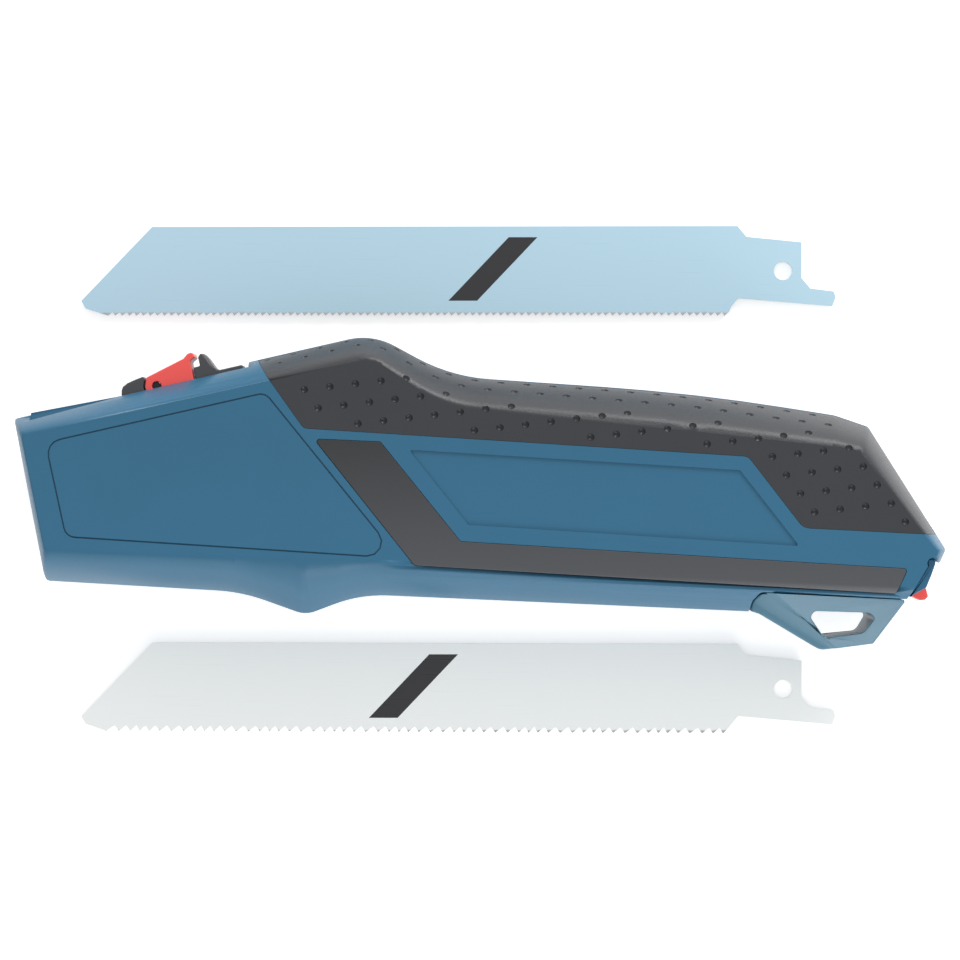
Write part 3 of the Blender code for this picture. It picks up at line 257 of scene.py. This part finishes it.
def build_grain_and_painted_light():
    """Group with a drifting colour, painted light that makes it lighter towards the lower edge, an uneven gloss
    and a fine grain.
    """
    group, given, made = new_group(
        "grain_and_painted_light",
        [("Colour", "NodeSocketColor"), ("Drift", "NodeSocketFloat"), ("Fade", "NodeSocketFloat"),
         ("Gloss", "NodeSocketFloat")],
        [("Colour", "NodeSocketColor"), ("Roughness", "NodeSocketFloat"), ("Height", "NodeSocketFloat")])
    place = object_place(group)
    clouds = noise(group, place, CLOUD_SCALE, CLOUD_DETAIL)
    speckle = noise(group, place, SPECKLE_SCALE)
    drift = spread_by(group, clouds, -1.0, 1.0, given.outputs["Drift"])
    # Painted light: the lower a point, the lighter its colour.
    painted_light_share = map_range(group, axes(group, place)["Y"], LOW_LIGHT_TOP, LOW_LIGHT_FOOT, 0.0, 1.0)
    painted_light_value = math_node(group, "MULTIPLY_ADD", painted_light_share, given.outputs["Fade"], 1.0)
    tint = group.nodes.new("ShaderNodeHueSaturation")
    group.links.new(math_node(group, "ADD", drift, painted_light_value), tint.inputs["Value"])
    group.links.new(given.outputs["Colour"], tint.inputs["Color"])
    group.links.new(tint.outputs["Color"], made.inputs["Colour"])
    roughness = spread_by(group, speckle, *GRAIN_GLOSS_RANGE, given.outputs["Gloss"])
    group.links.new(roughness, made.inputs["Roughness"])
    group.links.new(speckle, made.inputs["Height"])
    return group


grain_and_painted_light = build_grain_and_painted_light()
print("group:", grain_and_painted_light.name)

# %% Lines of ground steel
LINE_STRETCH = (60.0, 3500.0, 3500.0)
LINE_DETAIL = 3.0
LINE_GLOSS_RANGE = (0.6, 1.4)
PATCH_SCALE = 120.0
PATCH_DETAIL = 5.0


def build_ground_lines():
    """Group with the fine lengthwise lines of ground or brushed steel."""
    group, given, made = new_group(
        "ground_lines", [("Gloss", "NodeSocketFloat")],
        [("Roughness", "NodeSocketFloat"), ("Height", "NodeSocketFloat"), ("Mask", "NodeSocketFloat")])
    place = object_place(group)
    stretch = group.nodes.new("ShaderNodeMapping")
    stretch.inputs["Scale"].default_value = LINE_STRETCH
    group.links.new(place, stretch.inputs["Vector"])
    lines = noise(group, stretch.outputs["Vector"], 1.0, LINE_DETAIL)
    roughness = spread_by(group, lines, *LINE_GLOSS_RANGE, given.outputs["Gloss"])
    group.links.new(roughness, made.inputs["Roughness"])
    group.links.new(lines, made.inputs["Height"])
    group.links.new(noise(group, place, PATCH_SCALE, PATCH_DETAIL), made.inputs["Mask"])
    return group


ground_lines = build_ground_lines()
print("group:", ground_lines.name)

# %% [markdown]
# ## Moulded finishes
# Blue housing, slate rubber, slate inlay, black carriage and red lever are all mouldings. They differ in
# colour, gloss, grain and painted light, so one function makes them all from the shared group. The housing,
# and most of all the inlay, get painted light towards their lower edge, and the loop's blue is the housing blue
# painted lighter for the light from below. The bump stays small: the grain of such a mould is a few hundredths
# of a millimetre deep.

# %% Finishes of the mouldings
GRAIN_DEPTH = 0.0001
COAT_ROUGHNESS = 0.2


def add_bump(tree, shader, height, strength, depth):
    """Turn a height into the shading of a surface."""
    bump = tree.nodes.new("ShaderNodeBump")
    bump.inputs["Strength"].default_value = strength
    bump.inputs["Distance"].default_value = depth
    tree.links.new(height, bump.inputs["Height"])
    tree.links.new(bump.outputs["Normal"], shader.inputs["Normal"])


def moulded(name, colour, gloss, drift, grain, painted_low_light=0.0, coat=0.0):
    """Finish of a moulded piece."""
    material, tree, shader = new_material(name)
    surface = tree.nodes.new("ShaderNodeGroup")
    surface.node_tree = grain_and_painted_light
    surface.inputs["Colour"].default_value = (*colour, 1.0)
    surface.inputs["Drift"].default_value = drift
    surface.inputs["Fade"].default_value = painted_low_light
    surface.inputs["Gloss"].default_value = gloss
    tree.links.new(surface.outputs["Colour"], shader.inputs["Base Color"])
    tree.links.new(surface.outputs["Roughness"], shader.inputs["Roughness"])
    add_bump(tree, shader, surface.outputs["Height"], grain, GRAIN_DEPTH)
    shader.inputs["Coat Weight"].default_value = coat
    shader.inputs["Coat Roughness"].default_value = COAT_ROUGHNESS
    print("moulded finish:", name)
    return material


# Housing and inlay get painted light, lighter towards their lower edge; the inlay gets by far the most.
housing_blue = moulded("housing_blue", (0.018, 0.116, 0.210), gloss=0.40, drift=0.06, grain=0.25, painted_low_light=0.08)
# Painted light: the loop's blue is the housing blue made lighter, for the light that falls on it from below.
loop_blue_painted_lighter = moulded("loop_blue_painted_lighter", (0.066, 0.180, 0.258), gloss=0.38, drift=0.06, grain=0.25)
grip_rubber = moulded("grip_rubber", (0.029, 0.031, 0.036), gloss=0.41, drift=0.10, grain=0.40)
inlay_slate = moulded("inlay_slate", (0.020, 0.0215, 0.024), gloss=0.50, drift=0.08, grain=0.20, painted_low_light=2.40)
carriage_black = moulded("carriage_black", (0.062, 0.062, 0.066), gloss=0.40, drift=0.08, grain=0.20)
lever_red = moulded("lever_red", (0.980, 0.100, 0.085), gloss=0.38, drift=0.03, grain=0.10, coat=0.1)

# %% [markdown]
# ## Metal finishes
# The blades are steel under a thin lacquer, and the saw teeth have lost theirs. The inner pieces are plain
# ground steel. The lacquer is one colour with faint grinding lines showing through, and the bare teeth are
# picked out by their place across the blade, which needs no painted mask. A plain dark bar is printed across
# the middle of each blade: it is masked by its distance from a slanted line.

# %% Ground steel
STEEL_BUMP = 0.15
STEEL_LINE_DEPTH = 0.00005
DULL_SHARE = 0.85


def mixed(tree, share, first, second):
    """Mix of two colours, each a socket or plain numbers."""
    mix = tree.nodes.new("ShaderNodeMixRGB")
    tree.links.new(share, mix.inputs["Fac"])
    feed(tree, first, mix.inputs["Color1"])
    feed(tree, second, mix.inputs["Color2"])
    return mix.outputs["Color"]


def ground_steel(name, colour, gloss):
    """Plain ground steel, duller in patches."""
    material, tree, shader = new_material(name)
    lines = tree.nodes.new("ShaderNodeGroup")
    lines.node_tree = ground_lines
    lines.inputs["Gloss"].default_value = gloss
    dull = tuple(channel * DULL_SHARE for channel in colour)
    patches = mixed(tree, lines.outputs["Mask"], (*dull, 1.0), (*colour, 1.0))
    tree.links.new(patches, shader.inputs["Base Color"])
    tree.links.new(lines.outputs["Roughness"], shader.inputs["Roughness"])
    add_bump(tree, shader, lines.outputs["Height"], STEEL_BUMP, STEEL_LINE_DEPTH)
    shader.inputs["Metallic"].default_value = 1.0
    print("metal finish:", name)
    return material


inner_steel = ground_steel("inner_steel", (0.56, 0.57, 0.59), gloss=0.34)
black_steel = ground_steel("blackened_steel", (0.05, 0.05, 0.055), gloss=0.45)

# %% Lacquered blades
BAR_WIDTH = 0.0058
BAR_HEIGHT = 0.0128
BAR_SLANT = 0.95
BAR_COLOUR = (0.022, 0.022, 0.025, 1.0)
BLADE_STEEL = (0.62, 0.63, 0.65)
BLADE_GLOSS = 0.32
RAGGED_SCALE = 900.0
RAGGED_DEPTH = 0.0005
LACQUER_EDGE = 0.0003
LACQUER_COAT = 0.2
LACQUER_COAT_ROUGHNESS = 0.25


def slanted_bar(tree, place, centre):
    """Mask of the printed bar round a centre."""
    along = math_node(tree, "SUBTRACT", place["X"], centre[0])
    up = math_node(tree, "SUBTRACT", place["Y"], centre[1])
    beside = math_node(tree, "ABSOLUTE", math_node(tree, "MULTIPLY_ADD", up, -BAR_SLANT, along))
    inside = math_node(tree, "LESS_THAN", beside, BAR_WIDTH / 2)
    level = math_node(tree, "LESS_THAN", math_node(tree, "ABSOLUTE", up), BAR_HEIGHT / 2)
    return math_node(tree, "MULTIPLY", inside, level)


def lacquered_blade(name, colour, tooth_line, bar_centre):
    """Lacquered steel whose teeth, below a line across the blade, are bare."""
    material = ground_steel(name, BLADE_STEEL, BLADE_GLOSS)
    tree = material.node_tree
    shader = tree.nodes["Principled BSDF"]
    bare_colour = shader.inputs["Base Color"].links[0].from_socket
    coordinates = object_place(tree)
    place = axes(tree, coordinates)
    ragged = noise(tree, coordinates, RAGGED_SCALE)
    waver = math_node(tree, "MULTIPLY_ADD", ragged, RAGGED_DEPTH, place["Y"])
    bare = map_range(tree, waver, tooth_line, tooth_line + LACQUER_EDGE, 1.0, 0.0)
    printed = mixed(tree, slanted_bar(tree, place, bar_centre), (*colour, 1.0), BAR_COLOUR)
    tree.links.new(mixed(tree, bare, printed, bare_colour), shader.inputs["Base Color"])
    tree.links.new(bare, shader.inputs["Metallic"])
    shader.inputs["Coat Weight"].default_value = LACQUER_COAT
    shader.inputs["Coat Roughness"].default_value = LACQUER_COAT_ROUGHNESS
    return material


fine_lacquer = lacquered_blade("fine_blade_lacquer", (0.47, 0.68, 0.805),
                               tooth_line=0.0338, bar_centre=(0.0026, 0.0425))
coarse_lacquer = lacquered_blade("coarse_blade_lacquer", (0.96, 0.985, 0.975),
                                 tooth_line=-0.0503, bar_centre=(-0.0134, -0.0415))

# %% [markdown]
# ## From solid to piece
# A imported node is loose triangles, which can't be shaded smoothly. Each piece that shows starts from a merged
# copy: equal points become one, flat areas become single faces, and only real corners stay sharp. The copy
# then stands for its node, whose solid is hidden, and rides on the node's body.

# %% Bodies and slots of the nodes
body_of_node = {}
for body, members in frame["record"]["behaviour"]["bodies"].items():
    for member in members:
        body_of_node[member] = body
slot_of_node = {entry["node"]: entry["material_slot"] for entry in frame["record"]["subparts"]}
print("bodies:", sorted(set(body_of_node.values())))

# %% Helpers that shape a copy
MERGE_DISTANCE = 2e-6
FLAT_ANGLE = math.radians(0.4)
CORNER_ANGLE = math.radians(40)


def merged_copy(node, flat=True):
    """Bmesh of a node with its triangles joined up."""
    bm = bmesh.new()
    bm.from_mesh(nodes[node].data)
    bmesh.ops.remove_doubles(bm, verts=bm.verts, dist=MERGE_DISTANCE)
    bmesh.ops.dissolve_degenerate(bm, edges=bm.edges, dist=MERGE_DISTANCE)
    if flat:
        bmesh.ops.dissolve_limit(bm, angle_limit=FLAT_ANGLE, verts=bm.verts, edges=bm.edges)
    return bm


def corner_edges(bm):
    """Edges where two faces meet at a corner."""
    return [e for e in bm.edges if len(e.link_faces) == 2 and e.calc_face_angle(0.0) > CORNER_ANGLE]


def soften(bm, width, segments=2, choose=None):
    """Round every corner edge, or every chosen one."""
    sharp = corner_edges(bm)
    if choose:
        sharp = [e for e in sharp if choose(e)]
    bmesh.ops.bevel(bm, geom=sharp, offset=width, offset_type="OFFSET", segments=segments, profile=0.5,
                    affect="EDGES", material=-1, clamp_overlap=False)


# %% Helpers that finish a piece
SMOOTH_ANGLE = math.radians(34)
LARGE_FACE_WEIGHT = 50


def smooth_object(name, bm, smooth=SMOOTH_ANGLE):
    """Smoothly shaded object from a bmesh, sharp where it turns by more than an angle."""
    piece = object_from(name, bm)
    piece.data.shade_smooth()
    piece.data.set_sharp_from_angle(angle=smooth)
    return piece


def even_shading(piece):
    """Let the large faces of an object set its shading."""
    even = piece.modifiers.new("even_shading", "WEIGHTED_NORMAL")
    even.mode = "FACE_AREA_WITH_ANGLE"
    even.weight = LARGE_FACE_WEIGHT
    even.keep_sharp = True


def stand_in(piece, node, material):
    """Give an object a finish and the body of the node that it replaces, and hide that node."""
    piece.data.materials.append(material)
    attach(piece, body_of_node[node])
    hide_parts(node)
    print(piece.name, "faces:", len(piece.data.polygons))


def finished(name, bm, node, material, smooth=SMOOTH_ANGLE):
    """Piece from a bmesh that stands for a node."""
    piece = smooth_object(name, bm, smooth)
    even_shading(piece)
    stand_in(piece, node, material)


# %% [markdown]
# ## Housing
# The two shells are the handle's blue halves, screwed together. They are the CAD solids with smooth flanks.
# A bevel could round all their edges, but these are parting lines and seats, which stay crisp on a real
# moulding.

# %% Shells
for side in ("left", "right"):
    finished(f"{side}_housing", merged_copy(f"{side}_shell"), f"{side}_shell", housing_blue)

# %% [markdown]
# ## Dimpled grips
# The rubber is covered with small round dimples. On the flat side they lie in rows on a slanted lattice, and
# over the top they follow the edge in staggered rows. A bump in the material would be quicker, but it doesn't
# catch light and shadow as a hollow does. So one dimple tool is spun from a short profile, and a copy of it
# is set on the surface wherever a ray meets the grip. A Boolean cuts them all at once.

# %% Places of the dimples
DIMPLE_START = Vector((-0.02358, 0.01088))
DIMPLE_STEP_A = Vector((0.00494, 0.00056))
DIMPLE_STEP_B = Vector((0.00271, -0.00356))
DIMPLE_ROWS = {-2: (-1, 3), -1: (-1, 4), 0: (0, 6), 1: (4, 10), 2: (8, 13), 3: (12, 16), 4: (14, 17),
               5: (14, 17), 6: (14, 17), 7: (14, 17), 8: (17, 17)}
TOP_ROW_HEIGHTS = (0.0030, 0.0082)
TOP_ROW_START = -0.0469
TOP_ROW_STEP = 0.0051
TOP_ROW_COUNT = 23
TOP_TURN = 0.5
MID = 0.0140
RAY_START = 0.1


def dimple_places():
    """Points and normals on the left grip where a dimple sits."""
    grip = merged_copy("left_grip", flat=False)
    surface = BVHTree.FromBMesh(grip)
    grip.free()
    places = []
    for row, (first, last) in DIMPLE_ROWS.items():
        for number in range(first, last + 1):
            spot = DIMPLE_START + DIMPLE_STEP_A * number + DIMPLE_STEP_B * row
            point, normal, _, _ = surface.ray_cast(Vector((*spot, RAY_START)), Vector((0, 0, -1)))
            if point:
                places.append((point, normal))
    for row, height in enumerate(TOP_ROW_HEIGHTS):
        for step in range(TOP_ROW_COUNT):
            x = TOP_ROW_START + (step + 0.5 * row) * TOP_ROW_STEP
            point, normal, _, _ = surface.ray_cast(Vector((x, RAY_START, MID + height)), Vector((0, -1, 0)))
            if point and normal.y > TOP_TURN and normal.z <= TOP_TURN:
                places.append((point, normal))
    return places


spots = dimple_places()
print("dimples found:", len(spots))

# %% Dimple tools
DIMPLE_PROFILE = [(0.0, -0.00058), (0.00012, -0.00056), (0.00056, -0.00031), (0.00072, -0.00008),
                  (0.00079, 0.00008)]
DIMPLE_SIDES = 12
POLE_DISTANCE = 1e-7


def one_dimple():
    """Bmesh of one dimple tool, upright at the origin."""
    form = bmesh.new()
    ring = [form.verts.new((radius, 0.0, height)) for radius, height in DIMPLE_PROFILE]
    ring.append(form.verts.new((0.0, 0.0, DIMPLE_PROFILE[-1][1])))
    edges = [form.edges.new(pair) for pair in zip(ring, ring[1:])]
    bmesh.ops.spin(form, geom=ring + edges, cent=(0, 0, 0), axis=(0, 0, 1), angle=2 * math.pi,
                   steps=DIMPLE_SIDES, use_merge=True)
    bmesh.ops.remove_doubles(form, verts=form.verts, dist=POLE_DISTANCE)
    bmesh.ops.recalc_face_normals(form, faces=form.faces)
    return form


def dimple_tools(places):
    """Object that holds a dimple tool at every place, each set square on the surface."""
    pattern = one_dimple()
    tools = bmesh.new()
    for point, normal in places:
        one = pattern.copy()
        one.transform(Matrix.Translation(point) @ normal.to_track_quat("Z", "Y").to_matrix().to_4x4())
        part_mesh = bpy.data.meshes.new("dimple")
        one.to_mesh(part_mesh)
        one.free()
        tools.from_mesh(part_mesh)
        bpy.data.meshes.remove(part_mesh)
    pattern.free()
    return object_from("dimple_tool", tools)


print("dimple width and depth:", 2 * DIMPLE_PROFILE[-2][0], -DIMPLE_PROFILE[0][1])

# %% Cut of the grip
RIM_MARGIN = 0.0010
SEAT_GAP = 0.00024
UPRIGHT = 0.001
CLEAR_TURN = 0.3


def close_seam(bm):
    """Push the upright walls of a let-in piece out, so that it fills its seat."""
    bm.normal_update()
    moves = {}
    for face in bm.faces:
        if abs(face.normal.z) < UPRIGHT:
            for vert in face.verts:
                moves.setdefault(vert, []).append(face.normal.copy())
    for vert, normals in moves.items():
        mean = sum(normals, Vector()) / len(normals)
        if mean.length > CLEAR_TURN:
            vert.co += mean.normalized() * SEAT_GAP


def gap_to_edge(point, edge):
    """Distance from a point to an edge."""
    start, end = edge.verts[0].co, edge.verts[1].co
    along = end - start
    share = max(0.0, min(1.0, (point - start).dot(along) / max(along.length_squared, 1e-12)))
    return (start + along * share - point).length


def clear_of_rim(bm, places):
    """Places that keep a margin to the grip's rim."""
    rim = corner_edges(bm)
    return [(point, normal) for point, normal in places
            if all(gap_to_edge(point, edge) >= RIM_MARGIN for edge in rim)]


def bake_cut(bm, tool):
    """Bmesh of a shape after a Boolean with a tool."""
    body = object_from("before_cut", bm)
    cut = body.modifiers.new("cut", "BOOLEAN")
    cut.operation = "DIFFERENCE"
    cut.solver = "EXACT"
    cut.object = tool
    evaluated = body.evaluated_get(bpy.context.evaluated_depsgraph_get())
    result = bmesh.new()
    result.from_mesh(evaluated.to_mesh())
    bpy.data.objects.remove(body, do_unlink=True)
    bpy.data.objects.remove(tool, do_unlink=True)
    return result


uncut_grip = merged_copy("left_grip", flat=False)
close_seam(uncut_grip)
kept_spots = clear_of_rim(uncut_grip, spots)
cut_grip = bake_cut(uncut_grip.copy(), dimple_tools(kept_spots))
print("dimples cut:", len(kept_spots))

# %% [markdown]
# ## Shading of the grips
# A Boolean leaves long thin faces between the dimples, and smooth shading over them shows as streaks. A
# remesh would blur the dimples. So the shading between them is taken from the grip as it was before the cut,
# level faces are shaded flat, and the dimples keep their own. The right grip is the mirrored left one.

# %% Shading taken from the uncut grip
NEAR_SURFACE = 0.00003
SAME_FACING = 0.98
LEVEL = 0.99999
INSIDE_SHARE = 0.02


def mirrored(bm):
    """Copy of a bmesh on the other side of the parting plane."""
    twin = bm.copy()
    bmesh.ops.scale(twin, vec=(1.0, 1.0, -1.0), space=Matrix.Translation((0.0, 0.0, -MID)), verts=twin.verts)
    bmesh.ops.recalc_face_normals(twin, faces=twin.faces)
    return twin


def smooth_triangles(bm):
    """Points, triangles and corner normals of a bmesh with even shading."""
    smooth = smooth_object("uncut_grip", bm)
    even_shading(smooth)
    source = smooth.evaluated_get(bpy.context.evaluated_depsgraph_get()).to_mesh()
    source.calc_loop_triangles()
    points = [vert.co.copy() for vert in source.vertices]
    triangles = [tuple(triangle.vertices) for triangle in source.loop_triangles]
    corner_normals = [[source.corner_normals[corner].vector.copy() for corner in triangle.loops]
                      for triangle in source.loop_triangles]
    bpy.data.objects.remove(smooth, do_unlink=True)
    return points, triangles, corner_normals


def shade_like(piece, uncut):
    """Take the shading between the dimples from the grip as it was before they were cut."""
    points, triangles, corner_normals = smooth_triangles(uncut)
    surface = BVHTree.FromPolygons(points, triangles)
    mesh = piece.data
    normals = [corner.vector.copy() for corner in mesh.corner_normals]
    for face in mesh.polygons:
        _, facing, _, away = surface.find_nearest(face.center)
        if away > NEAR_SURFACE or facing.dot(face.normal) < SAME_FACING:
            continue
        for corner in face.loop_indices:
            if abs(face.normal.z) > LEVEL:
                normals[corner] = face.normal.copy()
                continue
            place = mesh.vertices[mesh.loops[corner].vertex_index].co.lerp(face.center, INSIDE_SHARE)
            nearest, _, hit, _ = surface.find_nearest(place)
            corners = [points[index] for index in triangles[hit]]
            turned = barycentric_transform(nearest, *corners, *corner_normals[hit])
            normals[corner] = turned.normalized()
    mesh.normals_split_custom_set(normals)


for side, cut_form, plain_form in (("right", mirrored(cut_grip), mirrored(uncut_grip)),
                                   ("left", cut_grip, uncut_grip)):
    dimpled = smooth_object(f"{side}_dimpled_grip", cut_form)
    shade_like(dimpled, plain_form)
    stand_in(dimpled, f"{side}_grip", grip_rubber)

# %% [markdown]
# ## Inlays, lid and catch
# The slate inlays are let into the flanks, and the lid and its red catch close the rear end. All four are
# plain mouldings, so a small round on every edge is enough. The inlays are also widened to fill their seats,
# because the CAD solids keep a gap there.

# %% Small mouldings
INLAY_ROUND = 0.00015
LID_ROUND = 0.0002

for node, material, width in (("left_inlay", inlay_slate, INLAY_ROUND),
                              ("right_inlay", inlay_slate, INLAY_ROUND),
                              ("storage_lid", housing_blue, LID_ROUND),
                              ("lid_catch", lever_red, LID_ROUND)):
    bm = merged_copy(node)
    if material is inlay_slate:
        close_seam(bm)
    soften(bm, width)
    finished(f"{node}_moulding", bm, node, material)

# %% [markdown]
# ## Hanging loop
# The loop is one moulding with a hole for a hook. Its outer edges are rounder than the rim of its hole, where
# a wide round would eat the small corners, so the two are rounded in turn. The wall that meets the shells
# stays crisp and is raised a little, so that only a fine seam shows there.

# %% Loop
HOLE_BOX = ((0.0635, -0.0315), (0.0777, -0.0250))
LOOP_ROUND = 0.0004
HOLE_ROUND = 0.0002
SEAM_START = (0.05544, -0.02204)
SEAM_END = (0.08208, -0.02337)
SEAM_RISE = 0.00014
SEAM_BAND = 0.00006
SEAM_END_BAND = 0.00001


def in_hole(edge):
    """True for an edge on the rim of the loop's hole."""
    (left, low), (right, high) = HOLE_BOX
    return all(left < vert.co.x < right and low < vert.co.y < high for vert in edge.verts)


def on_seam(vert):
    """True for a point of the wall that meets the shells."""
    slope = (SEAM_END[1] - SEAM_START[1]) / (SEAM_END[0] - SEAM_START[0])
    along = vert.co.x - SEAM_START[0]
    above = vert.co.y - SEAM_START[1] - slope * along
    return along > -SEAM_END_BAND and abs(above) < SEAM_BAND


def on_outside(edge):
    """True for an edge that is neither in the hole nor along the seam."""
    return not in_hole(edge) and not all(on_seam(vert) for vert in edge.verts)


bm = merged_copy("hang_loop", flat=False)
soften(bm, LOOP_ROUND, choose=on_outside)
soften(bm, HOLE_ROUND, choose=in_hole)
bmesh.ops.translate(bm, vec=(0.0, SEAM_RISE, 0.0), verts=[vert for vert in bm.verts if on_seam(vert)])
finished("hang_loop_moulding", bm, "hang_loop", loop_blue_painted_lighter)

# %% [markdown]
# ## Carriage and lever
# The black carriage carries the red lever. Both get rounder edges, because a thumb presses them. The sloping
# back of the thumb hook has the widest round, where the thumb pulls. Its edges are found in the frame of the
# nose, which slopes by 12.9 degrees.

# %% Carriage and lever
NOSE_TURN = Matrix.Rotation(math.radians(-12.9), 3, "Z")
HOOK_BACK = ((-0.0476, 0.0329), (-0.0445, 0.0366))
HOOK_ROUND = 0.0007
HOOK_SEGMENTS = 4
LEVEL_GAP = 1e-5
CARRIAGE_ROUND = 0.00025
SHORT_EDGE = 0.0004
LEVER_ROUND = 0.00022


def on_hook_back(edge):
    """True for a side edge along the sloping back of the thumb hook."""
    (front, low), (rear, high) = HOOK_BACK
    ends = [NOSE_TURN @ vert.co for vert in edge.verts]
    level = abs(ends[0].z - ends[1].z) < LEVEL_GAP
    return level and all(front < end.x < rear and low < end.y < high for end in ends)


bm = merged_copy("carriage")
soften(bm, HOOK_ROUND, HOOK_SEGMENTS, on_hook_back)
soften(bm, CARRIAGE_ROUND, choose=lambda edge: edge.calc_length() > SHORT_EDGE)
finished("carriage_moulding", bm, "carriage", carriage_black)
bm = merged_copy("release_lever")
soften(bm, LEVER_ROUND)
finished("release_lever_moulding", bm, "release_lever", lever_red)

# %% [markdown]
# ## Screw heads
# The five shell screws are driven from the right side, so their heads show there. Each head gets a cross for
# the screwdriver, pressed in by two crossed slots. A painted cross would look flat from the side, so the
# slots are cut.

# %% Screws with a cross in the head
CROSS_LENGTH = 0.0030
CROSS_WIDTH = 0.0007
CROSS_DEPTH = 0.0008
HEAD_BAND = 0.00001
SCREW_NODES = [name for name in nodes if name.startswith("shell_screw")]


def slot_tool(centre, size):
    """Box that cuts one slot of a cross."""
    box = bmesh.new()
    bmesh.ops.create_cube(box, size=1.0, matrix=Matrix.Translation(centre) @ Matrix.Diagonal((*size, 1.0)))
    return object_from("slot", box)


for node in SCREW_NODES:
    bm = merged_copy(node)
    head = min(vert.co.z for vert in bm.verts)
    rim = [vert.co for vert in bm.verts if vert.co.z < head + HEAD_BAND]
    centre = sum(rim, Vector()) / len(rim)
    for size in ((CROSS_LENGTH, CROSS_WIDTH), (CROSS_WIDTH, CROSS_LENGTH)):
        bm = bake_cut(bm, slot_tool(centre, (*size, 2 * CROSS_DEPTH)))
    finished(f"{node}_crossed", bm, node, inner_steel)

# %% [markdown]
# ## Blades with set teeth
# Saw teeth lean to one side and the other so that the cut is wider than the blade. The fine blade's teeth
# lean in a wave, and the coarse blade's lean left, right and straight in turn. The merged copy of the solid
# has the teeth already, so only their points are moved.

# %% Helpers for saw teeth
TOOTH_GAP = 0.0004


def tooth_points(bm, tip_line):
    """Points at the tips of the teeth, below a line along the blade, in groups."""
    tips = [vert for vert in bm.verts if vert.co.y < tip_line(vert.co.x)]
    tips.sort(key=lambda vert: vert.co.x)
    groups = []
    for vert in tips:
        if not groups or vert.co.x - groups[-1][0].co.x > TOOTH_GAP:
            groups.append([])
        groups[-1].append(vert)
    return groups


def set_teeth(groups, lean):
    """Thin each tooth towards one side by a lean that depends on its number and place."""
    for number, group in enumerate(groups):
        amount = lean(number, group[0].co.x)
        middle = max(vert.co.z for vert in group) / 2
        for vert in group:
            if vert.co.z > middle and amount < 0:
                vert.co.z += amount
            if vert.co.z < middle and amount > 0:
                vert.co.z += amount


# %% Blades
SET = 0.0003
WAVE_LENGTH = 0.0085
SET_ORDER = (1, 0, -1)
BLADE_SMOOTH_ANGLE = math.radians(20)
FINE_TIPS = 0.0333
COARSE_TIPS = -0.0505
COARSE_TIPS_FROM = -0.0766
COARSE_TIPS_SLOPE = 0.00436

blade_form = merged_copy("fine_tooth_blade")
fine_groups = tooth_points(blade_form, lambda x: FINE_TIPS)
set_teeth(fine_groups, lambda number, x: SET * math.sin(2 * math.pi * x / WAVE_LENGTH))
finished("fine_blade_steel", blade_form, "fine_tooth_blade", fine_lacquer, BLADE_SMOOTH_ANGLE)
blade_form = merged_copy("coarse_tooth_blade")
coarse_groups = tooth_points(blade_form, lambda x: COARSE_TIPS - (x - COARSE_TIPS_FROM) * COARSE_TIPS_SLOPE)
set_teeth(coarse_groups, lambda number, x: SET * SET_ORDER[number % len(SET_ORDER)])
finished("coarse_blade_steel", blade_form, "coarse_tooth_blade", coarse_lacquer, BLADE_SMOOTH_ANGLE)
print("teeth:", len(fine_groups), len(coarse_groups))

# %% [markdown]
# ## Inner pieces
# Pins, springs, small screws and the blade holder hardly show. Their solids are right as they are, so they
# only get the steel finish.

# %% Steel on the inner pieces
STEEL_NODES = [name for name in nodes
               if slot_of_node.get(name) == "bright_steel" and name not in SCREW_NODES]
for name in STEEL_NODES:
    data = nodes[name].data
    steel = black_steel if name == "lever_pin" else inner_steel
    if data.materials:
        data.materials[0] = steel
    else:
        data.materials.append(steel)
print("steel pieces:", len(STEEL_NODES))
